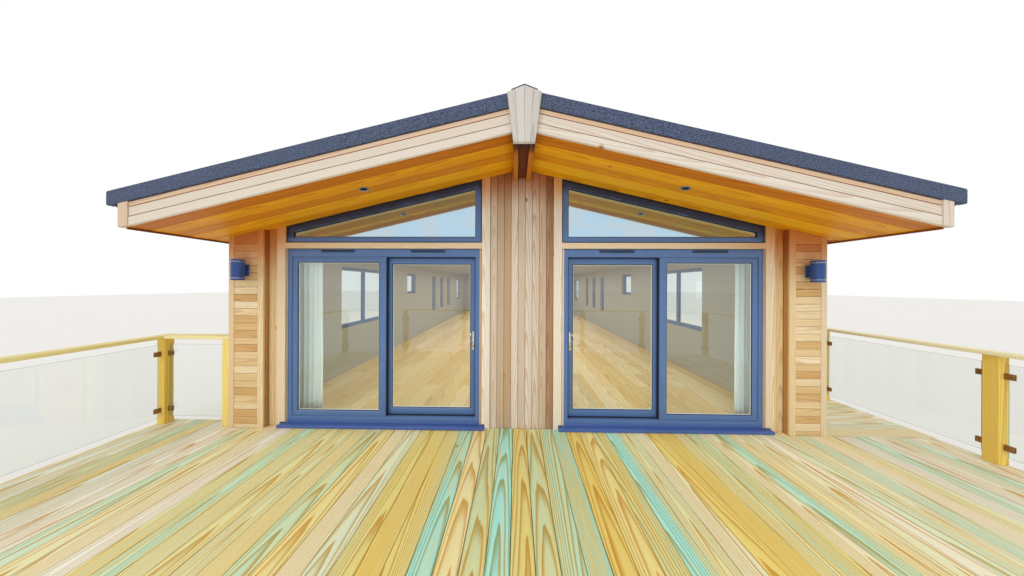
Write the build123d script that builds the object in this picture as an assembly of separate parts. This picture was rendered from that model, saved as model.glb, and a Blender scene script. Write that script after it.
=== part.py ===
"""Timber-clad twin-unit holiday caravan with a porch gable, two sliding patio doors and a railed deck.

Frame: X to the right along the front, Y into the building, Z up. The origin is at ground level,
below the ridge line, in the plane of the front cladding. Every size is in millimetres.
"""

import math
import os

from build123d import *

# Front of the building, from the ridge line outwards; together they make a body 6.8 m wide
CENTRE_WALL = 990.0
DOOR_WIDTH = 2277.0
DOOR_TO_PIER = 223.0
PIER_WIDTH = 408.0
PIER_PROJECTION = 64.0

# Body of the building
BODY_LENGTH = 12200.0
DECK_HEIGHT = 600.0
FLOOR_STEP = 30.0
FLOOR_DEPTH = 150.0
WALL_THICKNESS = 150.0
CLADDING = 20.0

# Roof, measured upwards from the underside of the soffit
ROOF_PITCH = 13.3
EAVES_OVER_HEAD = 121.5
LINING = 12.0
FASCIA_HEIGHT = 213.0
VERGE_HEIGHT = 127.0
COVERING = 60.0
PORCH_DEPTH = 730.0
REAR_OVERHANG = 250.0
FASCIA_THICKNESS = 25.0
EAVES_OVERHANG = 182.0
END_BLOCK_WIDTH = 85.0
COVERING_OVERHANG = 98.0
VERGE_PROUD = 15.0
FASCIA_STRIPS = (78.0, 87.0)
FASCIA_GROOVE = 5.0
END_BLOCK_PROUD = 10.0

# Ridge
RIDGE_BEAM_WIDTH = 194.0
RIDGE_BEAM_DROP = 126.0
RIDGE_STRIP_WIDTH = 96.0
RIDGE_STRIP_RECESS = 30.0
RIDGE_CAP_HALF = 160.0
RIDGE_CAP_HEIGHT = 36.0
RIDGE_CAP_EDGE = 12.0
KEYSTONE_TOP_HALF = 148.0
KEYSTONE_BOTTOM_HALF = 93.0
KEYSTONE_SHOULDER_DROP = 30.0
KEYSTONE_PEAK_RISE = 24.0
KEYSTONE_BOTTOM_DROP = 130.0
KEYSTONE_THICKNESS = 40.0
KEYSTONE_GROOVE = 5.0

# Gutters under the eaves
GUTTER_WIDTH = 90.0
GUTTER_DEPTH = 62.0
GUTTER_WALL = 4.0
GUTTER_DROP = 23.0
GUTTER_STANDOFF = 4.0

# Patio door openings, with heights above the deck
DOOR_SILL = 52.0
DOOR_HEIGHT = 2036.0
FRAME_JAMB = 45.0
FRAME_SILL = 55.0
FRAME_HEAD = 90.0
FRAME_FRONT = 5.0
FRAME_LIP = 14.0
FRAME_LIP_HEIGHT = 15.0
TRACK_WIDTH = 8.0
TRACK_HEIGHT = 12.0
STOP_HEIGHT = 40.0
VENT_LENGTH = 400.0
VENT_HEIGHT = 20.0
VENT_DEPTH = 12.0
VENT_FROM_SIDE = 604.0
VENT_BELOW_HEAD = 28.0

# Fixed sash of a patio door
SASH_RECESS = 8.0
SASH_DEPTH = 48.0
MEETING_OFFSET = 32.5
SASH_RAIL = 64.0
SASH_STILE = 63.0
MEETING_STILE = 84.0

# Sliding leaf of a patio door
LEAF_GAP = 5.0
LEAF_DEPTH = 40.0
LEAF_OVERLAP = 39.0
LEAF_HANDLE_STILE = 62.0
LEAF_MEETING_STILE = 85.0
LEAF_TOP_RAIL = 71.0
LEAF_BOTTOM_RAIL = 80.0
LEAF_TOP_GAP = 8.0
GROOVE_HEADROOM = 15.0
GUIDE_HEADROOM = 9.0
ROLLER_DIAMETER = 24.0
ROLLER_WIDTH = 6.0
ROLLER_INSET = 160.0
ROLLER_CLEARANCE = 0.3
GLASS_THICKNESS = 24.0
GLAZING_BEAD = 7.0
GLASS_EDGE = 12.0

# Pull handle of a leaf
HANDLE_BOTTOM = 895.0
HANDLE_HEIGHT = 215.0
HANDLE_WIDTH = 28.0
HANDLE_PLATE = 8.0
GRIP_DIAMETER = 16.0
GRIP_LENGTH = 150.0
GRIP_STANDOFF = 34.0
HANDLE_STOP_GAP = 31.0

# Cill below each patio door
CILL_HORN = 68.0
CILL_PROJECTION = 65.0
CILL_NOSE_BOTTOM = 2.0
CILL_NOSE_TOP = 32.0
CILL_SLOPE = 8.0

# Gable windows above the doors
GABLE_PAST_DOOR_INSIDE = 27.0
GABLE_PAST_DOOR_OUTSIDE = 23.0
LINTEL_HEIGHT = 82.0
GABLE_DEPTH = 70.0
GABLE_BOTTOM_RAIL = 62.0
GABLE_INNER_STILE = 75.0
GABLE_OUTER_STILE = 83.0
GABLE_TOP_RAIL = 100.0

# Trim boards round the doors
TRIM_THICKNESS = 20.0
TRIM_WIDTH = 95.0
TRIM_REVEAL_INSIDE = 32.0
TRIM_REVEAL_OUTSIDE = 10.0
TRIM_OVER_FRAME = 5.0
TRIM_UNDER_GABLE = 10.0

# Side windows: centre along the building, width, bottom above the deck and height
REAR_WINDOW_INSET = 1700.0
SIDE_WINDOWS = (
    (2300.0, 1500.0, 850.0, 1150.0),
    (4500.0, 600.0, 1400.0, 600.0),
    (6500.0, 400.0, 700.0, 1300.0),
    (7500.0, 400.0, 700.0, 1300.0),
    (8500.0, 400.0, 700.0, 1300.0),
    (BODY_LENGTH - REAR_WINDOW_INSET, 900.0, 900.0, 1100.0),
)
BACK_WINDOWS = (
    (-1650.0, 900.0, 900.0, 1100.0),
    (1650.0, 900.0, 900.0, 1100.0),
)
WINDOW_PROFILE = 65.0
WINDOW_DEPTH = 70.0
WINDOW_RECESS = 15.0
MULLION_OVER = 1200.0
TRANSOM_UNDER = 500.0
TRANSOM_LEVEL = 520.0

# Steel chassis and its stands
INNER_BEAM_LINE = 900.0
OUTER_BEAM_INSET = 703.0
BEAM_DEPTH = 200.0
BEAM_FLANGE = 100.0
BEAM_FLANGE_THICKNESS = 12.0
BEAM_WEB = 8.0
BEAM_INSET = 200.0
CROSS_COUNT = 6
CROSS_DEPTH = 120.0
CROSS_WIDTH = 50.0
STANDS_PER_BEAM = 5
PAD_SIZE = 400.0
PAD_HEIGHT = 60.0
STAND_DIAMETER = 70.0
STAND_HEAD = 130.0
STAND_HEAD_THICKNESS = 15.0

# Skirting round the underside
SKIRT_THICKNESS = 20.0
SKIRT_CLEARANCE = 15.0
JOINT_GAP = 2.0

# Deck
LEFT_TERRACE = 952.0
WALKWAY_WIDTH = 1172.0
DECK_FRONT = 3076.0
DECK_LEFT_END = 98.0
WALKWAY_END = 2198.0
DECK_BOARD = 28.0
DECK_GAP = 5.0
JOIST_WIDTH = 47.0
JOIST_DEPTH = 147.0
JOIST_PITCH = 420.0
BEARER_WIDTH = 94.0
BEARER_DEPTH = 147.0
BEARER_INSET = 180.0
BEARER_COUNT = 7
DECK_POST = 100.0
DECK_POST_INSET = 120.0
DECK_POSTS_PER_BEARER = 3

# Glass balustrade
POST_SIZE = 90.0
POST_HEIGHT = 1020.0
POST_INSET = 31.0
HANDRAIL_WIDTH = 140.0
HANDRAIL_DEPTH = 36.0
HANDRAIL_EDGE = 6.0
FRONT_BAYS = 6
LEFT_BAYS = 2
RIGHT_BAYS = 4
WALL_POST_STANDOFF = 57.0
PANE_THICKNESS = 10.0
PANE_BOTTOM = 85.0
PANE_BELOW_RAIL = 75.0
PANE_SIDE_GAP = 20.0
CLAMP_HEIGHT = 56.0
CLAMP_WIDTH = 50.0
CLAMP_THICKNESS = 26.0
CLAMP_FROM_PANE_BOTTOM = 87.0
CLAMP_FROM_PANE_TOP = 108.0
CLAMP_GASKET = 0.3

# Lights
WALL_LIGHT_DIAMETER = 110.0
WALL_LIGHT_BOTTOM = 1712.0
WALL_LIGHT_HEIGHT = 235.0
WALL_LIGHT_STANDOFF = 85.0
WALL_LIGHT_PLATE = (70.0, 130.0, 12.0)
WALL_LIGHT_ARM = 30.0
WALL_LIGHT_RIM = 6.0
WALL_LIGHT_RECESS = 12.0
WALL_LIGHT_RING_INSET = 25.0
WALL_LIGHT_RING_HEIGHT = 7.0
WALL_LIGHT_RING_PROUD = 1.5
DOWNLIGHT_X = 1605.0
DOWNLIGHT_Y = 400.0
DOWNLIGHT_DIAMETER = 95.0
DOWNLIGHT_RIM = 5.0
DOWNLIGHT_LENS = 68.0
DOWNLIGHT_RECESS = 3.0

# Levels and lines that follow from the sizes above
SLOPE = math.tan(math.radians(ROOF_PITCH))
DOOR_INNER = CENTRE_WALL / 2
DOOR_OUTER = DOOR_INNER + DOOR_WIDTH
DOOR_HEAD = DOOR_SILL + DOOR_HEIGHT
PIER_INNER = DOOR_OUTER + DOOR_TO_PIER
HALF_WIDTH = PIER_INNER + PIER_WIDTH
SOFFIT_APEX = DOOR_HEAD + EAVES_OVER_HEAD + HALF_WIDTH * SLOPE
FLOOR_TOP = DECK_HEIGHT + FLOOR_STEP
FLOOR_BOTTOM = FLOOR_TOP - FLOOR_DEPTH
CORE_OUTER = HALF_WIDTH - CLADDING
WALL_INNER = HALF_WIDTH - WALL_THICKNESS
ROOM_BACK = BODY_LENGTH - WALL_THICKNESS
CORE_BACK = BODY_LENGTH - CLADDING
PIER_FRONT = -PIER_PROJECTION
PIER_CORE_FRONT = PIER_FRONT + CLADDING
FASCIA_FRONT = -PORCH_DEPTH
FASCIA_BACK = FASCIA_FRONT + FASCIA_THICKNESS
REAR_FACE = BODY_LENGTH + REAR_OVERHANG
REAR_FASCIA_INNER = REAR_FACE - FASCIA_THICKNESS
EAVE_FACE = HALF_WIDTH + EAVES_OVERHANG
EAVE_INNER = EAVE_FACE - FASCIA_THICKNESS
FASCIA_END = EAVE_FACE - END_BLOCK_WIDTH
COVERING_EDGE = EAVE_FACE + COVERING_OVERHANG
ROOF_TOP = FASCIA_HEIGHT + VERGE_HEIGHT
COVERING_BOTTOM = ROOF_TOP - COVERING
BEAM_HALF = RIDGE_BEAM_WIDTH / 2
RIDGE_BEAM_BOTTOM = SOFFIT_APEX - RIDGE_BEAM_DROP
KEYSTONE_BOTTOM = SOFFIT_APEX - KEYSTONE_BOTTOM_DROP
KEYSTONE_SHOULDER = SOFFIT_APEX + ROOF_TOP - KEYSTONE_SHOULDER_DROP
KEYSTONE_PEAK = SOFFIT_APEX + ROOF_TOP + KEYSTONE_PEAK_RISE
GABLE_INNER = DOOR_INNER - GABLE_PAST_DOOR_INSIDE
GABLE_OUTER = DOOR_OUTER + GABLE_PAST_DOOR_OUTSIDE
GABLE_BOTTOM = DOOR_HEAD + LINTEL_HEIGHT
CHASSIS_LINES = (INNER_BEAM_LINE, HALF_WIDTH - OUTER_BEAM_INSET)
DECK_LEFT = HALF_WIDTH + LEFT_TERRACE
DECK_RIGHT = HALF_WIDTH + WALKWAY_WIDTH
TALL = DECK_HEIGHT + SOFFIT_APEX + ROOF_TOP


def above_deck(height):
    """Height above the ground of a height above the deck."""
    return DECK_HEIGHT + height


def soffit(x, offset=0.0):
    """Height of the soffit's underside at x, raised by an offset."""
    return above_deck(SOFFIT_APEX) - SLOPE * abs(x) + offset


def block(x0, x1, y0, y1, z0, z1):
    """Plain block between three pairs of limits."""
    centre = Pos((x0 + x1) / 2, (y0 + y1) / 2, (z0 + z1) / 2)
    return centre * Box(abs(x1 - x0), abs(y1 - y0), abs(z1 - z0))


def along_y(points, y0, y1):
    """Solid with an XZ outline that runs from y0 to y1."""
    outline = Face(Wire.make_polygon([(x, y0, z) for x, z in points]))
    return extrude(outline, amount=y1 - y0, dir=(0, 1, 0))


def along_x(points, x0, x1):
    """Solid with a YZ outline that runs from x0 to x1."""
    outline = Face(Wire.make_polygon([(x0, y, z) for y, z in points]))
    return extrude(outline, amount=x1 - x0, dir=(1, 0, 0))


def upright(points, z0, z1):
    """Solid with an XY outline that stands from z0 to z1."""
    outline = Face(Wire.make_polygon([(x, y, z0) for x, y in points]))
    return extrude(outline, amount=z1 - z0, dir=(0, 0, 1))


def flared(mouth, throat):
    """Tapered plug between two outlines, for the bevel that a glazing bead gives an opening."""
    return Solid.make_loft([Wire.make_polygon(mouth), Wire.make_polygon(throat)], True)


def flared_front(x0, x1, y, z0, z1):
    """Bevel round a pane that faces the front, from the face at y inwards."""
    bead = GLAZING_BEAD
    mouth = [(x0 - bead, y, z0 - bead), (x1 + bead, y, z0 - bead), (x1 + bead, y, z1 + bead), (x0 - bead, y, z1 + bead)]
    y += bead
    return flared(mouth, [(x0, y, z0), (x1, y, z0), (x1, y, z1), (x0, y, z1)])


def left_of(part):
    """Mirror image of a right-hand piece, on the left of the ridge line."""
    return mirror(part, about=Plane.YZ)


def both_sides(part):
    """The piece and its mirror image."""
    return [left_of(part), part]


def raked(x0, x1, y0, y1, low, high):
    """Sloping slab of the right-hand roof between two offsets from the soffit."""
    corners = [(x0, soffit(x0, low)), (x1, soffit(x1, low)), (x1, soffit(x1, high)), (x0, soffit(x0, high))]
    return along_y(corners, y0, y1)


def under_roof(y0, y1):
    """Everything below the rafters, used to give a wall its raked top."""
    reach = COVERING_EDGE
    top = soffit(reach, LINING)
    return along_y([(-reach, 0), (reach, 0), (reach, top), (0, soffit(0, LINING)), (-reach, top)], y0, y1)


def ridge_beam_outline():
    """Two beams side by side with a recessed strip over the joint between the two units."""
    bottom = above_deck(RIDGE_BEAM_BOTTOM)
    strip = RIDGE_STRIP_WIDTH / 2
    right = [
        (strip, bottom + RIDGE_STRIP_RECESS),
        (strip, bottom),
        (BEAM_HALF, bottom),
        (BEAM_HALF, soffit(BEAM_HALF, LINING)),
    ]
    left = [(-x, z) for x, z in reversed(right)]
    return right + [(0, soffit(0, LINING))] + left


def ridge_beam():
    return along_y(ridge_beam_outline(), FASCIA_FRONT, REAR_FACE)


def ridge_beam_slot():
    """Room for the ridge beam in the walls that carry it."""
    bottom = above_deck(RIDGE_BEAM_BOTTOM)
    return block(-BEAM_HALF, BEAM_HALF, FASCIA_FRONT, REAR_FACE, bottom, TALL)


# Floor, chassis and stands


def floor():
    right = [
        (PIER_INNER + CLADDING, CLADDING),
        (PIER_INNER + CLADDING, PIER_CORE_FRONT),
        (CORE_OUTER, PIER_CORE_FRONT),
        (CORE_OUTER, CORE_BACK),
    ]
    left = [(-x, y) for x, y in reversed(right)]
    return upright(right + left, FLOOR_BOTTOM, FLOOR_TOP)


def chassis_beams():
    top = FLOOR_BOTTOM
    bottom = top - BEAM_DEPTH
    flange = BEAM_FLANGE / 2
    web = BEAM_WEB / 2
    beams = []
    for line in CHASSIS_LINES:
        outline = [
            (line - flange, bottom),
            (line + flange, bottom),
            (line + flange, bottom + BEAM_FLANGE_THICKNESS),
            (line + web, bottom + BEAM_FLANGE_THICKNESS),
            (line + web, top - BEAM_FLANGE_THICKNESS),
            (line + flange, top - BEAM_FLANGE_THICKNESS),
            (line + flange, top),
            (line - flange, top),
            (line - flange, top - BEAM_FLANGE_THICKNESS),
            (line - web, top - BEAM_FLANGE_THICKNESS),
            (line - web, bottom + BEAM_FLANGE_THICKNESS),
            (line - flange, bottom + BEAM_FLANGE_THICKNESS),
        ]
        beams += both_sides(along_y(outline, BEAM_INSET, BODY_LENGTH - BEAM_INSET))
    return beams


def chassis_cross_members():
    inner, outer = CHASSIS_LINES
    top = FLOOR_BOTTOM - BEAM_FLANGE_THICKNESS
    run = BODY_LENGTH - 2 * BEAM_INSET - CROSS_WIDTH
    members = []
    for index in range(CROSS_COUNT):
        start = BEAM_INSET + run * index / (CROSS_COUNT - 1)
        channel = block(
            inner + BEAM_WEB / 2, outer - BEAM_WEB / 2, start, start + CROSS_WIDTH, top - CROSS_DEPTH, top
        )
        members += both_sides(channel)
    return members


def stand(x, y, top):
    """Adjustable steel stand on a concrete pad."""
    half = PAD_SIZE / 2
    pad = block(x - half, x + half, y - half, y + half, 0, PAD_HEIGHT)
    neck = top - STAND_HEAD_THICKNESS - PAD_HEIGHT
    tube = Pos(x, y, PAD_HEIGHT + neck / 2) * Cylinder(STAND_DIAMETER / 2, neck)
    head_half = STAND_HEAD / 2
    head = block(x - head_half, x + head_half, y - head_half, y + head_half, top - STAND_HEAD_THICKNESS, top)
    return pad + tube + head


def support_stands():
    stands = []
    run = BODY_LENGTH - 2 * BEAM_INSET - PAD_SIZE
    for line in CHASSIS_LINES:
        for index in range(STANDS_PER_BEAM):
            y = BEAM_INSET + PAD_SIZE / 2 + run * index / (STANDS_PER_BEAM - 1)
            stands += both_sides(stand(line, y, FLOOR_BOTTOM - BEAM_DEPTH))
    stands.append(stand(0, (CLADDING + WALL_THICKNESS) / 2, FLOOR_BOTTOM))
    behind_skirt = CORE_BACK - SKIRT_THICKNESS - JOINT_GAP
    stands.append(stand(0, behind_skirt - PAD_SIZE / 2, FLOOR_BOTTOM))
    return stands


def skirting():
    side = block(
        CORE_OUTER - SKIRT_THICKNESS, CORE_OUTER, CLADDING, CORE_BACK, SKIRT_CLEARANCE, FLOOR_BOTTOM
    )
    reach = CORE_OUTER - SKIRT_THICKNESS - JOINT_GAP
    back = block(-reach, reach, CORE_BACK - SKIRT_THICKNESS, CORE_BACK, SKIRT_CLEARANCE, FLOOR_BOTTOM)
    return both_sides(side) + [back]


# Walls


def front_wall_right():
    """Structural wall outside the doors, thickened forward at the corner pier."""
    outline = [
        (DOOR_OUTER, CLADDING),
        (PIER_INNER + CLADDING, CLADDING),
        (PIER_INNER + CLADDING, PIER_CORE_FRONT),
        (CORE_OUTER, PIER_CORE_FRONT),
        (CORE_OUTER, WALL_THICKNESS),
        (DOOR_OUTER, WALL_THICKNESS),
    ]
    wall = upright(outline, FLOOR_TOP, TALL)
    wall -= block(0, GABLE_OUTER, CLADDING, WALL_THICKNESS, above_deck(GABLE_BOTTOM), TALL)
    return wall & under_roof(PIER_CORE_FRONT, WALL_THICKNESS)


def centre_outline(bottom):
    """Outline of the wall between the two doors, narrower beside the gable windows."""
    shoulder = above_deck(GABLE_BOTTOM)
    right = [
        (DOOR_INNER, bottom),
        (DOOR_INNER, shoulder),
        (GABLE_INNER, shoulder),
        (GABLE_INNER, soffit(GABLE_INNER, LINING)),
    ]
    left = [(-x, z) for x, z in reversed(right)]
    return right + [(0, soffit(0, LINING))] + left


def front_wall_centre():
    return along_y(centre_outline(FLOOR_TOP), CLADDING, WALL_THICKNESS) - ridge_beam_slot()


def door_lintels():
    beam = block(
        DOOR_INNER, DOOR_OUTER, CLADDING, WALL_THICKNESS, above_deck(DOOR_HEAD), above_deck(GABLE_BOTTOM)
    )
    return both_sides(beam)


def side_opening(window, x0, x1, margin=0.0):
    centre, width, bottom, height = window
    half = width / 2 - margin
    return block(
        x0, x1, centre - half, centre + half, above_deck(bottom + margin), above_deck(bottom + height - margin)
    )


def back_opening(window, y0, y1, margin=0.0):
    centre, width, bottom, height = window
    half = width / 2 - margin
    return block(
        centre - half, centre + half, y0, y1, above_deck(bottom + margin), above_deck(bottom + height - margin)
    )


def side_wall():
    wall = block(WALL_INNER, CORE_OUTER, WALL_THICKNESS, ROOM_BACK, FLOOR_TOP, TALL)
    wall = wall & under_roof(WALL_THICKNESS, ROOM_BACK)
    for window in SIDE_WINDOWS:
        wall -= side_opening(window, WALL_INNER, CORE_OUTER)
    return wall


def back_wall():
    wall = block(-CORE_OUTER, CORE_OUTER, ROOM_BACK, CORE_BACK, FLOOR_TOP, TALL)
    wall = wall & under_roof(ROOM_BACK, CORE_BACK)
    for window in BACK_WINDOWS:
        wall -= back_opening(window, ROOM_BACK, CORE_BACK)
    return wall - ridge_beam_slot()


# Cladding


def front_cladding():
    """Board skin of the door wall, with the returns round the two piers."""
    outline = [
        (DOOR_OUTER, 0),
        (PIER_INNER, 0),
        (PIER_INNER, PIER_FRONT),
        (HALF_WIDTH, PIER_FRONT),
        (HALF_WIDTH, PIER_CORE_FRONT),
        (PIER_INNER + CLADDING, PIER_CORE_FRONT),
        (PIER_INNER + CLADDING, CLADDING),
        (DOOR_OUTER, CLADDING),
    ]
    skin = upright(outline, FLOOR_BOTTOM, TALL)
    skin -= block(0, GABLE_OUTER, 0, CLADDING, above_deck(GABLE_BOTTOM), TALL)
    skin = skin & under_roof(PIER_FRONT, CLADDING)
    centre = along_y(centre_outline(FLOOR_BOTTOM), 0, CLADDING) - ridge_beam_slot()
    return both_sides(skin) + [centre]


def side_cladding():
    skin = block(CORE_OUTER, HALF_WIDTH, PIER_CORE_FRONT, CORE_BACK, FLOOR_BOTTOM, TALL)
    skin = skin & under_roof(PIER_CORE_FRONT, CORE_BACK)
    for window in SIDE_WINDOWS:
        skin -= side_opening(window, CORE_OUTER, HALF_WIDTH)
    return both_sides(skin)


def back_cladding():
    skin = block(-HALF_WIDTH, HALF_WIDTH, CORE_BACK, BODY_LENGTH, FLOOR_BOTTOM, TALL)
    skin = skin & under_roof(CORE_BACK, BODY_LENGTH)
    for window in BACK_WINDOWS:
        skin -= back_opening(window, CORE_BACK, BODY_LENGTH)
    return skin - ridge_beam_slot()


def door_surrounds():
    """Trim boards up both sides of a door and its gable window, joined by a head board."""
    deck = above_deck(0)
    inner_edge = DOOR_INNER - TRIM_REVEAL_INSIDE
    outer_edge = DOOR_OUTER + TRIM_REVEAL_OUTSIDE
    front = -TRIM_THICKNESS
    inner = block(inner_edge - TRIM_WIDTH, inner_edge, front, 0, deck, TALL)
    outer = block(outer_edge, outer_edge + TRIM_WIDTH, front, 0, deck, TALL)
    low = above_deck(DOOR_HEAD + TRIM_OVER_FRAME)
    head = block(inner_edge, outer_edge, front, 0, low, above_deck(GABLE_BOTTOM - TRIM_UNDER_GABLE))
    cill = block(CILL_INNER, CILL_OUTER, front, 0, deck, above_deck(DOOR_SILL))
    lowered = Pos(0, 0, -LINING) * under_roof(front, 0)
    return both_sides((inner + outer + head - cill) & lowered)


# Patio doors, drawn on the right and mirrored to the left

OPENING_INNER = DOOR_INNER + FRAME_JAMB
OPENING_OUTER = DOOR_OUTER - FRAME_JAMB
OPENING_BOTTOM = DOOR_SILL + FRAME_SILL
OPENING_TOP = DOOR_HEAD - FRAME_HEAD
MEETING_EDGE = (OPENING_INNER + OPENING_OUTER) / 2 - MEETING_OFFSET
SASH_FRONT = FRAME_FRONT + SASH_RECESS
SASH_BACK = SASH_FRONT + SASH_DEPTH
LEAF_FRONT = SASH_BACK + LEAF_GAP
LEAF_BACK = LEAF_FRONT + LEAF_DEPTH
LEAF_INNER = OPENING_INNER + LEAF_GAP
LEAF_OUTER = MEETING_EDGE + LEAF_OVERLAP
LEAF_BOTTOM = OPENING_BOTTOM + LEAF_GAP
LEAF_TOP = OPENING_TOP - LEAF_TOP_GAP
TRACK_FRONT = (LEAF_FRONT + LEAF_BACK - TRACK_WIDTH) / 2
TRACK_BACK = TRACK_FRONT + TRACK_WIDTH
LIP_FRONT = LEAF_BACK + LEAF_GAP
FRAME_BACK = LIP_FRONT + FRAME_LIP
HANDLE_X = LEAF_INNER + LEAF_HANDLE_STILE / 2
LEAF_TRAVEL = MEETING_EDGE - HANDLE_STOP_GAP - HANDLE_X - HANDLE_WIDTH / 2
CILL_INNER = DOOR_INNER - CILL_HORN
CILL_OUTER = DOOR_OUTER + CILL_HORN


def door_frame():
    """Outer frame with the bottom rail, the head guide, the lip behind the leaf and its travel stop."""
    low = above_deck(OPENING_BOTTOM)
    high = above_deck(OPENING_TOP)
    frame = block(
        DOOR_INNER, DOOR_OUTER, FRAME_FRONT, FRAME_BACK, above_deck(DOOR_SILL), above_deck(DOOR_HEAD)
    )
    frame -= block(OPENING_INNER, OPENING_OUTER, FRAME_FRONT, FRAME_BACK, low, high)
    frame += block(OPENING_INNER, OPENING_OUTER, TRACK_FRONT, TRACK_BACK, low, low + TRACK_HEIGHT)
    frame += block(OPENING_INNER, OPENING_OUTER, TRACK_FRONT, TRACK_BACK, high - TRACK_HEIGHT, high)
    frame += block(OPENING_INNER, OPENING_OUTER, LIP_FRONT, FRAME_BACK, low, low + FRAME_LIP_HEIGHT)
    frame += block(OPENING_INNER, OPENING_OUTER, LIP_FRONT, FRAME_BACK, high - FRAME_LIP_HEIGHT, high)
    stop = LEAF_OUTER + LEAF_TRAVEL + LEAF_GAP
    frame += block(stop, OPENING_OUTER, LEAF_FRONT, LEAF_BACK, low, low + STOP_HEIGHT)
    vent_z = above_deck(DOOR_HEAD - VENT_BELOW_HEAD)
    for centre in (DOOR_INNER + VENT_FROM_SIDE, DOOR_OUTER - VENT_FROM_SIDE):
        frame += block(
            centre - VENT_LENGTH / 2, centre + VENT_LENGTH / 2, FRAME_FRONT - VENT_DEPTH, FRAME_FRONT,
            vent_z - VENT_HEIGHT / 2, vent_z + VENT_HEIGHT / 2,
        )
    return frame


def fixed_glass():
    front = SASH_FRONT + (SASH_DEPTH - GLASS_THICKNESS) / 2
    return block(
        MEETING_EDGE + MEETING_STILE - GLASS_EDGE, OPENING_OUTER - SASH_STILE + GLASS_EDGE,
        front, front + GLASS_THICKNESS,
        above_deck(OPENING_BOTTOM + SASH_RAIL - GLASS_EDGE), above_deck(OPENING_TOP - SASH_RAIL + GLASS_EDGE),
    )


def fixed_sash():
    sash = block(
        MEETING_EDGE, OPENING_OUTER, SASH_FRONT, SASH_BACK, above_deck(OPENING_BOTTOM), above_deck(OPENING_TOP)
    )
    sash -= block(
        MEETING_EDGE + MEETING_STILE, OPENING_OUTER - SASH_STILE, SASH_FRONT, SASH_BACK,
        above_deck(OPENING_BOTTOM + SASH_RAIL), above_deck(OPENING_TOP - SASH_RAIL),
    )
    sash -= flared_front(
        MEETING_EDGE + MEETING_STILE, OPENING_OUTER - SASH_STILE, SASH_FRONT,
        above_deck(OPENING_BOTTOM + SASH_RAIL), above_deck(OPENING_TOP - SASH_RAIL),
    )
    return sash - fixed_glass()


def leaf_glass():
    front = LEAF_FRONT + (LEAF_DEPTH - GLASS_THICKNESS) / 2
    return block(
        LEAF_INNER + LEAF_HANDLE_STILE - GLASS_EDGE, LEAF_OUTER - LEAF_MEETING_STILE + GLASS_EDGE,
        front, front + GLASS_THICKNESS,
        above_deck(LEAF_BOTTOM + LEAF_BOTTOM_RAIL - GLASS_EDGE), above_deck(LEAF_TOP - LEAF_TOP_RAIL + GLASS_EDGE),
    )


def leaf_frame():
    """Sliding frame, grooved over the rail and the head guide, with a roller at each end."""
    bottom = above_deck(LEAF_BOTTOM)
    top = above_deck(LEAF_TOP)
    leaf = block(LEAF_INNER, LEAF_OUTER, LEAF_FRONT, LEAF_BACK, bottom, top)
    leaf -= block(
        LEAF_INNER + LEAF_HANDLE_STILE, LEAF_OUTER - LEAF_MEETING_STILE, LEAF_FRONT, LEAF_BACK,
        bottom + LEAF_BOTTOM_RAIL, top - LEAF_TOP_RAIL,
    )
    leaf -= flared_front(
        LEAF_INNER + LEAF_HANDLE_STILE, LEAF_OUTER - LEAF_MEETING_STILE, LEAF_FRONT,
        bottom + LEAF_BOTTOM_RAIL, top - LEAF_TOP_RAIL,
    )
    groove_front = TRACK_FRONT - LEAF_GAP
    groove_back = TRACK_BACK + LEAF_GAP
    rail_top = above_deck(OPENING_BOTTOM + TRACK_HEIGHT)
    guide_bottom = above_deck(OPENING_TOP - TRACK_HEIGHT)
    leaf -= block(LEAF_INNER, LEAF_OUTER, groove_front, groove_back, bottom, rail_top + GROOVE_HEADROOM)
    leaf -= block(LEAF_INNER, LEAF_OUTER, groove_front, groove_back, guide_bottom - GUIDE_HEADROOM, top)
    roller_z = rail_top + ROLLER_CLEARANCE + ROLLER_DIAMETER / 2
    roller_y = TRACK_FRONT + TRACK_WIDTH / 2
    for x in (LEAF_INNER + ROLLER_INSET, LEAF_OUTER - ROLLER_INSET):
        wheel = Rot(90, 0, 0) * Cylinder(ROLLER_DIAMETER / 2, ROLLER_WIDTH)
        leaf += Pos(x, roller_y, roller_z) * wheel
    return leaf - leaf_glass()


def leaf_handle():
    """Pull handle with a back plate on the closing stile."""
    x = HANDLE_X
    half = HANDLE_WIDTH / 2
    low = above_deck(HANDLE_BOTTOM)
    plate = block(x - half, x + half, LEAF_FRONT - HANDLE_PLATE, LEAF_FRONT, low, low + HANDLE_HEIGHT)
    middle = low + HANDLE_HEIGHT / 2
    grip_y = LEAF_FRONT - GRIP_STANDOFF
    grip = Pos(x, grip_y, middle) * Cylinder(GRIP_DIAMETER / 2, GRIP_LENGTH)
    handle = plate + grip
    reach = GRIP_LENGTH / 2 - GRIP_DIAMETER
    for z in (middle - reach, middle + reach):
        arm = Rot(90, 0, 0) * Cylinder(GRIP_DIAMETER / 2, GRIP_STANDOFF)
        handle += Pos(x, LEAF_FRONT - GRIP_STANDOFF / 2, z) * arm
    return handle - block(x - half, x + half, LEAF_FRONT, LEAF_BACK, low, low + HANDLE_HEIGHT)


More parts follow.
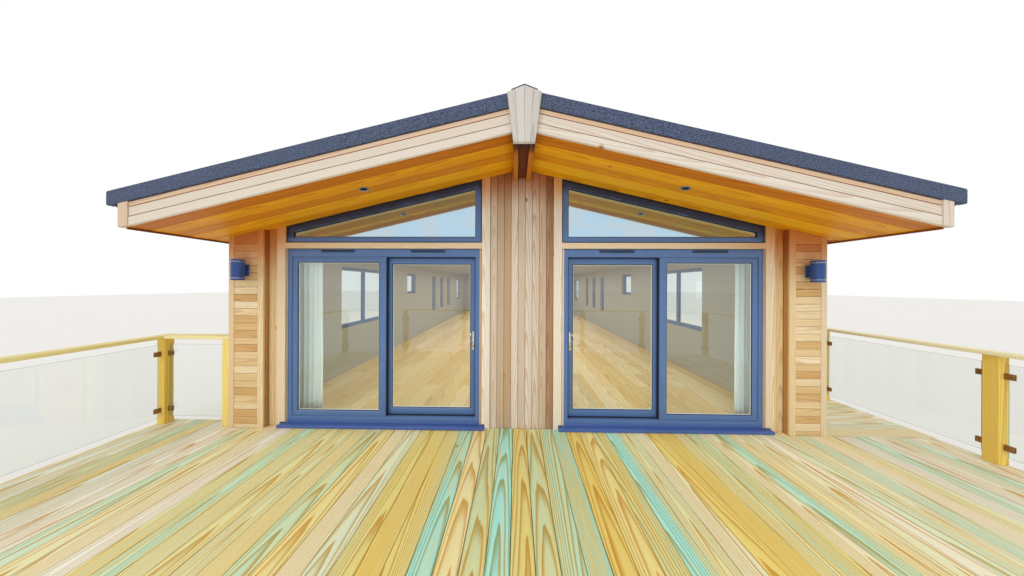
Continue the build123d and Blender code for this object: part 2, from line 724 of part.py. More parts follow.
def door_cill():
    """Projecting cill with a sloping top, a thin nose and a seat for the frame."""
    points = [
        (-CILL_PROJECTION, above_deck(CILL_NOSE_BOTTOM)),
        (-CILL_PROJECTION, above_deck(CILL_NOSE_TOP)),
        (FRAME_FRONT, above_deck(CILL_NOSE_TOP + CILL_SLOPE)),
        (FRAME_FRONT, above_deck(DOOR_SILL)),
        (FRAME_BACK, above_deck(DOOR_SILL)),
        (FRAME_BACK, FLOOR_TOP),
        (0, FLOOR_TOP),
        (0, above_deck(CILL_NOSE_BOTTOM)),
    ]
    cill = along_x(points, CILL_INNER, CILL_OUTER)
    outside = block(CILL_INNER, DOOR_INNER, 0, FRAME_BACK, FLOOR_BOTTOM, above_deck(DOOR_SILL))
    outside += block(DOOR_OUTER, CILL_OUTER, 0, FRAME_BACK, FLOOR_BOTTOM, above_deck(DOOR_SILL))
    return cill - outside


# Gable windows and the other windows


def gable_outline(inset_inner, inset_outer, inset_bottom, inset_top):
    inner = GABLE_INNER + inset_inner
    outer = GABLE_OUTER - inset_outer
    low = above_deck(GABLE_BOTTOM) + inset_bottom
    return [(inner, low), (outer, low), (outer, soffit(outer, LINING - inset_top)),
            (inner, soffit(inner, LINING - inset_top))]


def gable_window_frame():
    frame = along_y(gable_outline(0, 0, 0, 0), FRAME_FRONT, FRAME_FRONT + GABLE_DEPTH)
    light = gable_outline(GABLE_INNER_STILE, GABLE_OUTER_STILE, GABLE_BOTTOM_RAIL, GABLE_TOP_RAIL)
    frame -= along_y(light, FRAME_FRONT, FRAME_FRONT + GABLE_DEPTH)
    bead = GLAZING_BEAD
    mouth = gable_outline(
        GABLE_INNER_STILE - bead, GABLE_OUTER_STILE - bead, GABLE_BOTTOM_RAIL - bead, GABLE_TOP_RAIL - bead
    )
    frame -= flared([(x, FRAME_FRONT, z) for x, z in mouth], [(x, FRAME_FRONT + bead, z) for x, z in light])
    return frame - gable_window_glass()


def gable_window_glass():
    edge = GLASS_EDGE
    outline = gable_outline(
        GABLE_INNER_STILE - edge, GABLE_OUTER_STILE - edge, GABLE_BOTTOM_RAIL - edge, GABLE_TOP_RAIL - edge
    )
    front = FRAME_FRONT + (GABLE_DEPTH - GLASS_THICKNESS) / 2
    return along_y(outline, front, front + GLASS_THICKNESS)


def lights_of(window):
    """Glazed openings in a window's frame: one, or two where it has a mullion or a transom."""
    centre, width, bottom, height = window
    half = WINDOW_PROFILE / 2
    start, end = centre - width / 2 + WINDOW_PROFILE, centre + width / 2 - WINDOW_PROFILE
    low, high = above_deck(bottom) + WINDOW_PROFILE, above_deck(bottom + height) - WINDOW_PROFILE
    if width > MULLION_OVER:
        return [(start, centre - half, low, high), (centre + half, end, low, high)]
    if width < TRANSOM_UNDER:
        transom = above_deck(bottom + TRANSOM_LEVEL)
        return [(start, end, low, transom - half), (start, end, transom + half, high)]
    return [(start, end, low, high)]


def window_frames():
    """Frames of the side and back windows with bevelled beads, wide ones with a mullion, narrow ones a transom."""
    frames = []
    bead = GLAZING_BEAD
    outer = HALF_WIDTH - WINDOW_RECESS
    inner = outer - WINDOW_DEPTH
    for window in SIDE_WINDOWS:
        frame = side_opening(window, inner, outer)
        for a, b, low, high in lights_of(window):
            frame -= block(inner, outer, a, b, low, high)
            frame -= flared(
                [(outer, a - bead, low - bead), (outer, b + bead, low - bead), (outer, b + bead, high + bead),
                 (outer, a - bead, high + bead)],
                [(outer - bead, a, low), (outer - bead, b, low), (outer - bead, b, high), (outer - bead, a, high)],
            )
        frames += both_sides(frame - side_opening(window, *side_glass_faces(), WINDOW_PROFILE - GLASS_EDGE))
    outer = BODY_LENGTH - WINDOW_RECESS
    inner = outer - WINDOW_DEPTH
    for window in BACK_WINDOWS:
        frame = back_opening(window, inner, outer)
        for a, b, low, high in lights_of(window):
            frame -= block(a, b, inner, outer, low, high)
            frame -= flared(
                [(a - bead, outer, low - bead), (b + bead, outer, low - bead), (b + bead, outer, high + bead),
                 (a - bead, outer, high + bead)],
                [(a, outer - bead, low), (b, outer - bead, low), (b, outer - bead, high), (a, outer - bead, high)],
            )
        frames.append(frame - back_opening(window, *back_glass_faces(), WINDOW_PROFILE - GLASS_EDGE))
    return frames


def side_glass_faces():
    middle = HALF_WIDTH - WINDOW_RECESS - WINDOW_DEPTH / 2
    return middle - GLASS_THICKNESS / 2, middle + GLASS_THICKNESS / 2


def back_glass_faces():
    middle = BODY_LENGTH - WINDOW_RECESS - WINDOW_DEPTH / 2
    return middle - GLASS_THICKNESS / 2, middle + GLASS_THICKNESS / 2


def window_glass():
    panes = []
    for window in SIDE_WINDOWS:
        panes += both_sides(side_opening(window, *side_glass_faces(), WINDOW_PROFILE - GLASS_EDGE))
    for window in BACK_WINDOWS:
        panes.append(back_opening(window, *back_glass_faces(), WINDOW_PROFILE - GLASS_EDGE))
    return panes


# Roof


def roof_panel():
    return raked(0, EAVE_INNER, FASCIA_BACK, REAR_FASCIA_INNER, LINING, COVERING_BOTTOM)


def keystone():
    """Tapered cover over the front end of the ridge, with three boards marked by two grooves."""
    outline = [
        (-KEYSTONE_BOTTOM_HALF, above_deck(KEYSTONE_BOTTOM)),
        (KEYSTONE_BOTTOM_HALF, above_deck(KEYSTONE_BOTTOM)),
        (KEYSTONE_TOP_HALF, above_deck(KEYSTONE_SHOULDER)),
        (0, above_deck(KEYSTONE_PEAK)),
        (-KEYSTONE_TOP_HALF, above_deck(KEYSTONE_SHOULDER)),
    ]
    return along_y(outline, FASCIA_FRONT - KEYSTONE_THICKNESS, FASCIA_FRONT)


def keystone_cover():
    cover = keystone()
    front = FASCIA_FRONT - KEYSTONE_THICKNESS
    low = above_deck(KEYSTONE_BOTTOM)
    high = above_deck(KEYSTONE_PEAK)
    half = KEYSTONE_GROOVE / 2
    for side in (-1, 1):
        foot = side * KEYSTONE_BOTTOM_HALF / 3
        head = side * KEYSTONE_TOP_HALF / 3
        outline = [(foot - half, low), (foot + half, low), (head + half, high), (head - half, high)]
        cover -= along_y(outline, front, front + KEYSTONE_GROOVE)
    return cover


def covering():
    """Granulated roof sheet with the deep verge trims at the front and the back."""
    front = FASCIA_FRONT - VERGE_PROUD
    back = REAR_FACE + VERGE_PROUD
    sheet = raked(JOINT_GAP / 2, COVERING_EDGE, front, back, COVERING_BOTTOM, ROOF_TOP)
    sheet += raked(JOINT_GAP / 2, COVERING_EDGE, front, FASCIA_BACK, FASCIA_HEIGHT, ROOF_TOP)
    sheet += raked(JOINT_GAP / 2, COVERING_EDGE, REAR_FASCIA_INNER, back, FASCIA_HEIGHT, ROOF_TOP)
    return sheet - keystone()


def roof_covering():
    return both_sides(covering())


def ridge_cap():
    edge = RIDGE_CAP_HALF
    outline = [
        (0, soffit(0, ROOF_TOP)),
        (edge, soffit(edge, ROOF_TOP)),
        (edge, soffit(edge, ROOF_TOP + RIDGE_CAP_EDGE)),
        (0, soffit(0, ROOF_TOP + RIDGE_CAP_HEIGHT)),
        (-edge, soffit(edge, ROOF_TOP + RIDGE_CAP_EDGE)),
        (-edge, soffit(edge, ROOF_TOP)),
    ]
    cap = along_y(outline, FASCIA_FRONT - VERGE_PROUD, REAR_FACE + VERGE_PROUD)
    return cap - keystone()


def grooved_fascia(x0, x1, y_face, y_inner):
    """Raked board with two grooves that mark its three strips."""
    board = raked(x0, x1, min(y_face, y_inner), max(y_face, y_inner), 0, FASCIA_HEIGHT)
    step = math.copysign(FASCIA_GROOVE, y_inner - y_face)
    level = 0.0
    for strip in FASCIA_STRIPS:
        level += strip
        ends = sorted((y_face, y_face + step))
        board -= raked(x0, x1, *ends, level - FASCIA_GROOVE / 2, level + FASCIA_GROOVE / 2)
    return board


def end_block(y_face, y_inner):
    """Block that closes the fascia at the eaves."""
    proud = y_face - math.copysign(END_BLOCK_PROUD, y_inner - y_face)
    ends = sorted((proud, y_inner))
    return raked(FASCIA_END, EAVE_FACE, *ends, 0, FASCIA_HEIGHT)


def front_fascia():
    board = grooved_fascia(BEAM_HALF, FASCIA_END, FASCIA_FRONT, FASCIA_BACK)
    return both_sides(board + end_block(FASCIA_FRONT, FASCIA_BACK))


def back_fascia():
    board = grooved_fascia(BEAM_HALF, FASCIA_END, REAR_FACE, REAR_FASCIA_INNER)
    return both_sides(board + end_block(REAR_FACE, REAR_FASCIA_INNER))


def eaves_fascias():
    return both_sides(raked(EAVE_INNER, EAVE_FACE, FASCIA_BACK, REAR_FASCIA_INNER, 0, COVERING_BOTTOM))


def porch_soffit():
    lining = raked(BEAM_HALF, EAVE_INNER, FASCIA_BACK, PIER_FRONT - JOINT_GAP, 0, LINING)
    lining += raked(BEAM_HALF, PIER_INNER - JOINT_GAP, PIER_FRONT - JOINT_GAP, -JOINT_GAP, 0, LINING)
    return both_sides(lining)


def eaves_soffits():
    sides = raked(HALF_WIDTH + JOINT_GAP, EAVE_INNER, PIER_FRONT, REAR_FASCIA_INNER, 0, LINING)
    back = raked(BEAM_HALF, HALF_WIDTH, BODY_LENGTH + JOINT_GAP, REAR_FASCIA_INNER, 0, LINING)
    return both_sides(sides) + both_sides(back)


def ceiling():
    return both_sides(raked(BEAM_HALF, WALL_INNER, WALL_THICKNESS, ROOM_BACK, 0, LINING))


def gutters():
    """Open gutters below the edge of the roof covering."""
    centre = EAVE_FACE + GUTTER_STANDOFF + GUTTER_WIDTH / 2
    top = soffit(centre, COVERING_BOTTOM) - GUTTER_DROP
    outer = GUTTER_WIDTH / 2
    straight = GUTTER_DEPTH - outer
    profile = Pos(centre, 0, top - straight) * Rot(90, 0, 0) * Circle(outer)
    tube = extrude(profile, amount=REAR_FASCIA_INNER - FASCIA_BACK, dir=(0, 1, 0))
    tube = Pos(0, FASCIA_BACK, 0) * tube
    sides = block(centre - outer, centre + outer, FASCIA_BACK, REAR_FASCIA_INNER, top - straight, top)
    body = tube + sides
    body -= block(centre - outer, centre + outer, FASCIA_BACK, REAR_FASCIA_INNER, top, TALL)
    inner = outer - GUTTER_WALL
    profile = Pos(centre, 0, top - straight) * Rot(90, 0, 0) * Circle(inner)
    hollow = extrude(profile, amount=REAR_FASCIA_INNER - FASCIA_BACK - 2 * GUTTER_WALL, dir=(0, 1, 0))
    hollow = Pos(0, FASCIA_BACK + GUTTER_WALL, 0) * hollow
    hollow += block(
        centre - inner, centre + inner, FASCIA_BACK + GUTTER_WALL, REAR_FASCIA_INNER - GUTTER_WALL,
        top - straight, TALL,
    )
    return both_sides(body - hollow)


# Deck


def deck_boards():
    """Main deck, whose boards run towards the doors, and the walkway along the right side."""
    low = DECK_HEIGHT - DECK_BOARD
    pier_line = PIER_FRONT - DECK_GAP
    side = HALF_WIDTH + DECK_GAP
    inner = PIER_INNER - DECK_GAP
    outline = [
        (-DECK_LEFT, -DECK_FRONT),
        (DECK_RIGHT, -DECK_FRONT),
        (DECK_RIGHT, pier_line),
        (inner, pier_line),
        (inner, -DECK_GAP),
        (-inner, -DECK_GAP),
        (-inner, pier_line),
        (-side, pier_line),
        (-side, DECK_LEFT_END),
        (-DECK_LEFT, DECK_LEFT_END),
    ]
    main = upright(outline, low, DECK_HEIGHT)
    walkway = block(side, DECK_RIGHT, pier_line + DECK_GAP, WALKWAY_END, low, DECK_HEIGHT)
    return [main, walkway]


def deck_joists():
    """Joists across the deck with a rim along its edges, and those of the walkway."""
    top = DECK_HEIGHT - DECK_BOARD
    low = top - JOIST_DEPTH
    back = PIER_FRONT - DECK_GAP
    left_rim = block(-DECK_LEFT, -DECK_LEFT + JOIST_WIDTH, -DECK_FRONT, DECK_LEFT_END, low, top)
    right_rim = block(DECK_RIGHT - JOIST_WIDTH, DECK_RIGHT, -DECK_FRONT, back, low, top)
    grid = left_rim + right_rim
    run = DECK_FRONT + back - JOIST_WIDTH
    count = math.ceil(run / JOIST_PITCH)
    for index in range(count + 1):
        y = -DECK_FRONT + run * index / count
        grid += block(-DECK_LEFT, DECK_RIGHT, y, y + JOIST_WIDTH, low, top)
    side = HALF_WIDTH + DECK_GAP
    grid += block(-DECK_LEFT, -side, DECK_LEFT_END - JOIST_WIDTH, DECK_LEFT_END, low, top)
    first = back + DECK_GAP
    walkway = block(side, DECK_RIGHT, first, first + JOIST_WIDTH, low, top)
    walkway += block(side, DECK_RIGHT, WALKWAY_END - JOIST_WIDTH, WALKWAY_END, low, top)
    spare = DECK_RIGHT - side - JOIST_WIDTH
    rows = math.ceil(spare / JOIST_PITCH)
    for index in range(rows + 1):
        x = side + spare * index / rows
        walkway += block(x, x + JOIST_WIDTH, first, WALKWAY_END, low, top)
    return [grid, walkway]


def bearer_lines():
    """Places of the bearers across the deck."""
    first = -DECK_LEFT + BEARER_INSET
    last = DECK_RIGHT - BEARER_INSET
    return [first + (last - first) * index / (BEARER_COUNT - 1) for index in range(BEARER_COUNT)]


def bearer_levels():
    top = DECK_HEIGHT - DECK_BOARD - JOIST_DEPTH
    return top - BEARER_DEPTH, top


def deck_bearers():
    low, top = bearer_levels()
    half = BEARER_WIDTH / 2
    back = PIER_FRONT - DECK_GAP
    first = -DECK_FRONT + SKIRT_THICKNESS
    bearers = [block(x - half, x + half, first, back, low, top) for x in bearer_lines()]
    side = HALF_WIDTH + DECK_GAP
    far = DECK_RIGHT - SKIRT_THICKNESS
    for start in (back + DECK_GAP, WALKWAY_END - BEARER_WIDTH):
        bearers.append(block(side, far, start, start + BEARER_WIDTH, low, top))
    return bearers


def deck_posts():
    low, _ = bearer_levels()
    half = DECK_POST / 2
    first = -DECK_FRONT + DECK_POST_INSET
    last = PIER_FRONT - DECK_POST_INSET
    places = []
    for x in bearer_lines():
        for index in range(DECK_POSTS_PER_BEARER):
            places.append((x, first + (last - first) * index / (DECK_POSTS_PER_BEARER - 1)))
    side = HALF_WIDTH + DECK_POST_INSET
    far = DECK_RIGHT - DECK_POST_INSET
    for x in (side, far):
        places.append((x, WALKWAY_END - BEARER_WIDTH / 2))
        places.append((x, PIER_FRONT + BEARER_WIDTH / 2))
    return [block(x - half, x + half, y - half, y + half, 0, low) for x, y in places]


def deck_skirting():
    """Board panels that close the open edges of the deck."""
    top = DECK_HEIGHT - DECK_BOARD - JOIST_DEPTH
    thick = SKIRT_THICKNESS
    gap = JOINT_GAP
    front = block(-DECK_LEFT, DECK_RIGHT, -DECK_FRONT, -DECK_FRONT + thick, SKIRT_CLEARANCE, top)
    left = block(
        -DECK_LEFT, -DECK_LEFT + thick, -DECK_FRONT + thick + gap, DECK_LEFT_END, SKIRT_CLEARANCE, top
    )
    right = block(
        DECK_RIGHT - thick, DECK_RIGHT, -DECK_FRONT + thick + gap, WALKWAY_END, SKIRT_CLEARANCE, top
    )
    return [front, left, right]


# Balustrade

PANE_TOP = POST_HEIGHT - PANE_BELOW_RAIL
CLAMP_HEIGHTS = (PANE_BOTTOM + CLAMP_FROM_PANE_BOTTOM, PANE_TOP - CLAMP_FROM_PANE_TOP)
RAIL_LEFT = -DECK_LEFT + POST_INSET + POST_SIZE / 2
RAIL_RIGHT = DECK_RIGHT - POST_INSET - POST_SIZE / 2
RAIL_FRONT = -DECK_FRONT + POST_INSET + POST_SIZE / 2
RAIL_LEFT_END = DECK_LEFT_END - POST_INSET - POST_SIZE / 2
RAIL_RIGHT_END = WALKWAY_END - POST_INSET - POST_SIZE / 2
WALL_POST_X = -HALF_WIDTH - WALL_POST_STANDOFF


def post_run(start, end, bays):
    """Places of the posts from start to end, both included."""
    return [
        (start[0] + (end[0] - start[0]) * index / bays, start[1] + (end[1] - start[1]) * index / bays)
        for index in range(bays + 1)
    ]


def rail_runs():
    """The four straight runs of the balustrade, each a list of post places."""
    front_left = (RAIL_LEFT, RAIL_FRONT)
    front_right = (RAIL_RIGHT, RAIL_FRONT)
    back_left = (RAIL_LEFT, RAIL_LEFT_END)
    return [
        post_run(front_left, front_right, FRONT_BAYS),
        post_run(front_left, back_left, LEFT_BAYS),
        post_run(front_right, (RAIL_RIGHT, RAIL_RIGHT_END), RIGHT_BAYS),
        post_run(back_left, (WALL_POST_X, RAIL_LEFT_END), 1),
    ]


def balustrade_posts():
    places = []
    for run in rail_runs():
        places += [place for place in run if place not in places]
    half = POST_SIZE / 2
    top = above_deck(POST_HEIGHT)
    return [block(x - half, x + half, y - half, y + half, DECK_HEIGHT, top) for x, y in places]


def eased(rail, axis):
    """A rail with the long edges of its top planed off."""
    return chamfer(rail.edges().filter_by(axis).group_by(Axis.Z)[-1], HANDRAIL_EDGE)


def handrails():
    """Flat rails over the posts with eased edges, butted with a fine joint at the corners."""
    low = above_deck(POST_HEIGHT)
    top = low + HANDRAIL_DEPTH
    half = HANDRAIL_WIDTH / 2
    gap = JOINT_GAP
    edge = POST_SIZE / 2
    front = block(RAIL_LEFT - half, RAIL_RIGHT + half, RAIL_FRONT - half, RAIL_FRONT + half, low, top)
    left = block(
        RAIL_LEFT - half, RAIL_LEFT + half, RAIL_FRONT + half + gap, RAIL_LEFT_END + half, low, top
    )
    right = block(
        RAIL_RIGHT - half, RAIL_RIGHT + half, RAIL_FRONT + half + gap, RAIL_RIGHT_END + edge, low, top
    )
    back = block(
        RAIL_LEFT + half + gap, WALL_POST_X + edge, RAIL_LEFT_END - half, RAIL_LEFT_END + half, low, top
    )
    return [eased(front, Axis.X), eased(left, Axis.Y), eased(right, Axis.Y), eased(back, Axis.X)]


def pane_spans():
    """Each bay's axis, line and clear length between two posts."""
    spans = []
    for run in rail_runs():
        for (x0, y0), (x1, y1) in zip(run, run[1:]):
            if x0 == x1:
                low, high = sorted((y0, y1))
                spans.append(("y", x0, low + POST_SIZE / 2, high - POST_SIZE / 2))
            else:
                low, high = sorted((x0, x1))
                spans.append(("x", y0, low + POST_SIZE / 2, high - POST_SIZE / 2))
    return spans


def bay_block(axis, line, start, end, half, z0, z1):
    """Block along a bay, centred on the bay's line."""
    if axis == "x":
        return block(start, end, line - half, line + half, z0, z1)
    return block(line - half, line + half, start, end, z0, z1)


def balustrade_glass():
    low = above_deck(PANE_BOTTOM)
    high = above_deck(PANE_TOP)
    return [
        bay_block(axis, line, start + PANE_SIDE_GAP, end - PANE_SIDE_GAP, PANE_THICKNESS / 2, low, high)
        for axis, line, start, end in pane_spans()
    ]


def glass_clamps():
    """Slotted clamps on the posts, two at each side of a pane."""
    clamps = []
    for axis, line, start, end in pane_spans():
        for height in CLAMP_HEIGHTS:
            z0 = above_deck(height) - CLAMP_HEIGHT / 2
            z1 = z0 + CLAMP_HEIGHT
            for a, b, slot_a, slot_b in (
                (start, start + CLAMP_WIDTH, start + PANE_SIDE_GAP, start + CLAMP_WIDTH),
                (end - CLAMP_WIDTH, end, end - CLAMP_WIDTH, end - PANE_SIDE_GAP),
            ):
                clamp = bay_block(axis, line, a, b, CLAMP_THICKNESS / 2, z0, z1)
                slot = PANE_THICKNESS / 2 + CLAMP_GASKET
                clamps.append(clamp - bay_block(axis, line, slot_a, slot_b, slot, z0, z1))
    return clamps


# Lights


def wall_lights():
    """Up and down cylinder lights in the middle of the piers."""
    x = (PIER_INNER + HALF_WIDTH) / 2
    y = PIER_FRONT - WALL_LIGHT_STANDOFF
    middle = above_deck(WALL_LIGHT_BOTTOM) + WALL_LIGHT_HEIGHT / 2
    radius = WALL_LIGHT_DIAMETER / 2
    body = Pos(x, y, middle) * Cylinder(radius, WALL_LIGHT_HEIGHT)
    for end in (-1, 1):
        recess = middle + end * (WALL_LIGHT_HEIGHT - WALL_LIGHT_RECESS) / 2
        body -= Pos(x, y, recess) * Cylinder(radius - WALL_LIGHT_RIM, WALL_LIGHT_RECESS)
        ring = middle + end * (WALL_LIGHT_HEIGHT / 2 - WALL_LIGHT_RING_INSET)
        body += Pos(x, y, ring) * Cylinder(radius + WALL_LIGHT_RING_PROUD, WALL_LIGHT_RING_HEIGHT)
    width, height, thick = WALL_LIGHT_PLATE
    plate = block(
        x - width / 2, x + width / 2, PIER_FRONT - thick, PIER_FRONT, middle - height / 2, middle + height / 2
    )
    half = WALL_LIGHT_ARM / 2
    arm = block(x - half, x + half, y, PIER_FRONT - thick, middle - half, middle + half)
    return both_sides(body + plate + arm)


def downlights():
    """Lights in the porch soffit with a rim round a recessed lens, tilted with the slope."""
    disc = Cylinder(DOWNLIGHT_DIAMETER / 2, DOWNLIGHT_RIM, align=(Align.CENTER, Align.CENTER, Align.MAX))
    lens = Cylinder(DOWNLIGHT_LENS / 2, DOWNLIGHT_RECESS, align=(Align.CENTER, Align.CENTER, Align.MIN))
    disc -= Pos(0, 0, -DOWNLIGHT_RIM) * lens
    light = Pos(DOWNLIGHT_X, -DOWNLIGHT_Y, soffit(DOWNLIGHT_X)) * Rot(0, ROOF_PITCH, 0) * disc
    return both_sides(light)


NODES = {
    "chassis_beams": chassis_beams,
    "chassis_cross_members": chassis_cross_members,
    "support_stands": support_stands,
    "skirting": skirting,
    "floor": floor,
    "front_wall_left": lambda: left_of(front_wall_right()),
    "front_wall_centre": front_wall_centre,
    "front_wall_right": front_wall_right,
    "door_lintels": door_lintels,
    "left_wall": lambda: left_of(side_wall()),
    "right_wall": side_wall,
    "back_wall": back_wall,
    "front_cladding": front_cladding,
    "side_cladding": side_cladding,
    "back_cladding": back_cladding,
    "door_surrounds": door_surrounds,
    "door_frames": lambda: both_sides(door_frame()),
    "fixed_sashes": lambda: both_sides(fixed_sash()),
    "fixed_glass": lambda: both_sides(fixed_glass()),
    "left_leaf_frame": lambda: left_of(leaf_frame()),
    "left_leaf_glass": lambda: left_of(leaf_glass()),
    "left_leaf_handle": lambda: left_of(leaf_handle()),
    "right_leaf_frame": leaf_frame,
    "right_leaf_glass": leaf_glass,
    "right_leaf_handle": leaf_handle,
    "door_cills": lambda: both_sides(door_cill()),
    "gable_window_frames": lambda: both_sides(gable_window_frame()),
    "gable_window_glass": lambda: both_sides(gable_window_glass()),
    "window_frames": window_frames,
    "window_glass": window_glass,
    "roof_left": lambda: left_of(roof_panel()),
    "roof_right": roof_panel,
    "roof_covering": roof_covering,
    "ridge_cap": ridge_cap,
    "ridge_beam": ridge_beam,
    "keystone_cover": keystone_cover,
    "front_fascia": front_fascia,
    "back_fascia": back_fascia,
    "eaves_fascias": eaves_fascias,
    "porch_soffit": porch_soffit,
    "eaves_soffits": eaves_soffits,
    "ceiling": ceiling,
    "gutters": gutters,
    "deck_boards": deck_boards,
    "deck_joists": deck_joists,
    "deck_bearers": deck_bearers,
    "deck_posts": deck_posts,
    "deck_skirting": deck_skirting,
    "balustrade_posts": balustrade_posts,
    "handrails": handrails,
    "balustrade_glass": balustrade_glass,
    "glass_clamps": glass_clamps,
    "wall_lights": wall_lights,
    "downlights": downlights,
}

os.makedirs("parts", exist_ok=True)
for name, make in NODES.items():
    made = make()
    solids = [solid for piece in made for solid in piece.solids()] if isinstance(made, list) else made.solids()
    export_step(Compound(children=list(solids)), f"parts/{name}.step")
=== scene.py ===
"""A static caravan of the twin-unit kind: cedar boards, a porch gable over two sliding patio doors, and a railed
deck. The file is laid out as an add-on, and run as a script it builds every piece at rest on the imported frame."""
import math

import bpy
import numpy as np
from mathutils import Matrix, Vector


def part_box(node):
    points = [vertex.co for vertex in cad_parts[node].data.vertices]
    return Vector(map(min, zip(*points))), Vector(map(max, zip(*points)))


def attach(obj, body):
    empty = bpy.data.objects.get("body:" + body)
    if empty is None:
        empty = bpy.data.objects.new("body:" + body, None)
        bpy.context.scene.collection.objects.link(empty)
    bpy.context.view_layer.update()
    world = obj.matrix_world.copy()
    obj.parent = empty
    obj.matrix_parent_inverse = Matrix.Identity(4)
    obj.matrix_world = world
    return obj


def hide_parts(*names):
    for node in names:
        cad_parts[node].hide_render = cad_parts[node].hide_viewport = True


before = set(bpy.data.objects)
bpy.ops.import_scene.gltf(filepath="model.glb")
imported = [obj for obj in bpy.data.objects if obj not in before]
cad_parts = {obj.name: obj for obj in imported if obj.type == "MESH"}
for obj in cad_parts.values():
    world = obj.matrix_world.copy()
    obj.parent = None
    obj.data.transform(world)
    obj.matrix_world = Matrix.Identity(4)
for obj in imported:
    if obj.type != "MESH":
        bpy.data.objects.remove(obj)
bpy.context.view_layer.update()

bl_info = {
    "name": "Static caravan with a railed deck",
    "version": (1, 0, 0),
    "blender": (4, 5, 0),
    "location": "3D View > Sidebar > Caravan",
    "description": "Builds a cedar-clad twin-unit caravan, its porch, patio doors and deck",
    "category": "Object",
}

# The building's own lines, in metres. X runs right along the front, Y into the building, Z up from the ground.
PITCH = math.radians(13.3)
SLOPE = math.tan(PITCH)
SOFFIT_APEX = 3.6139
SOFFIT_THICK = 0.012
CLAD_FOOT, CLAD_THICK, HALF_JOINT = 0.48, 0.02, 0.0014
WALL_FACE, BACK_FACE = 3.403, 12.2
BEAM_SIDE = 0.0972
PORCH_FRONT, PIER_FRONT, PIER_INNER = -0.705, -0.064, 2.995
DECK_UNDER, DECK_TOP, DECK_FRONT = 0.572, 0.6, -3.076
# The windows' middle along the wall, width, bottom and height.
WINDOWS_SIDE = (
    (2.30, 1.50, 1.45, 1.15), (4.50, 0.60, 2.00, 0.60), (6.50, 0.40, 1.30, 1.30),
    (7.50, 0.40, 1.30, 1.30), (8.50, 0.40, 1.30, 1.30), (10.50, 0.90, 1.50, 1.10),
)
WINDOWS_BACK = ((-1.65, 0.90, 1.50, 1.10), (1.65, 0.90, 1.50, 1.10))
PATTERN = 0.2       # size of the cube that every board is drawn out from
WAVE = 0.314        # a wave texture of scale 1 repeats after this length


def soffit(x):
    """Height of the soffit line over a place across the front."""
    return SOFFIT_APEX - SLOPE * abs(x)


def behind_soffit(x):
    """Upper end of a board that runs up behind the soffit's boards."""
    return soffit(x) + SOFFIT_THICK


def linear(colour):
    """Turns an sRGB hex colour to the linear values that Blender works with."""
    parts = [int(colour[i:i + 2], 16) / 255 for i in (0, 2, 4)]
    return tuple(p / 12.92 if p <= 0.04045 else ((p + 0.055) / 1.055) ** 2.4 for p in parts)


def rgba(colour):
    """A socket's colour, from an sRGB hex or from one linear grey level."""
    return (*(linear(colour) if isinstance(colour, str) else (colour,) * 3), 1)


# ---------------------------------------------------------------- materials

class Surface:
    """The emptied node tree of a material or of the world. Only add makes nodes, the rest are its common uses."""

    def __init__(self, owner):
        owner.use_nodes = True
        self.tree = owner.node_tree
        self.tree.nodes.clear()

    def add(self, kind, inputs=(), stops=(), **settings):
        """Adds a node with its settings, its ramp's stops, and its inputs, which are values, hex colours or links."""
        node = self.tree.nodes.new("ShaderNode" + kind)
        for name, value in settings.items():
            setattr(node, name, value)
        if stops:
            ramp = node.color_ramp.elements
            for element, (position, colour) in zip((ramp[0], ramp[1]), (stops[0], stops[-1])):
                element.position, element.color = position, rgba(colour)
            for position, colour in stops[1:-1]:
                ramp.new(position).color = rgba(colour)
        for name, value in dict(inputs).items():
            if isinstance(value, bpy.types.NodeSocket):
                self.tree.links.new(value, node.inputs[name])
            else:
                node.inputs[name].default_value = rgba(value) if isinstance(value, str) else value
        return node

    def place(self):
        return self.add("TexCoord").outputs["Object"]

    def split(self, vector):
        return self.add("SeparateXYZ", {"Vector": vector}).outputs

    def number(self, operation, *values, **settings):
        return self.add("Math", enumerate(values), operation=operation, **settings).outputs[0]

    def vector(self, operation, *values):
        return self.add("VectorMath", enumerate(values), operation=operation).outputs[0]

    def noise(self, vector, scale, detail, out="Fac", **more):
        return self.add("TexNoise", {"Vector": vector, "Scale": scale, "Detail": detail, **more}).outputs[out]

    def span(self, value, low, high, to_low=0.0, to_high=1.0, **settings):
        return self.add("MapRange", {"Value": value, "From Min": low, "From Max": high, "To Min": to_low,
                                     "To Max": to_high}, **settings).outputs["Result"]

    def ramp(self, value, *stops):
        return self.add("ValToRGB", {"Fac": value}, stops).outputs["Color"]

    def mix(self, factor, first, second, how="MULTIPLY"):
        return self.add("Mix", {0: factor, 6: first, 7: second}, data_type="RGBA", blend_type=how).outputs[2]

    def bump(self, height, strength, distance, **more):
        return self.add("Bump", {"Height": height, "Strength": strength, "Distance": distance,
                                 **more}).outputs["Normal"]

    def end(self, shader, kind="OutputMaterial"):
        self.add(kind, {"Surface": shader.outputs[0]})

    def under_soffit(self, drift, start, end, most):
        """How much painted shade the soffit lays on a place: none at start, most at end, both in metres from the
        soffit.
        """
        place = self.split(self.place())
        level = self.number("MULTIPLY_ADD", self.number("ABSOLUTE", place["X"]), SLOPE, place["Z"])
        level = self.number("MULTIPLY_ADD", drift, 0.22, level)
        return self.span(level, SOFFIT_APEX + start, SOFFIT_APEX + end, 0.0, most, interpolation_type="SMOOTHSTEP")


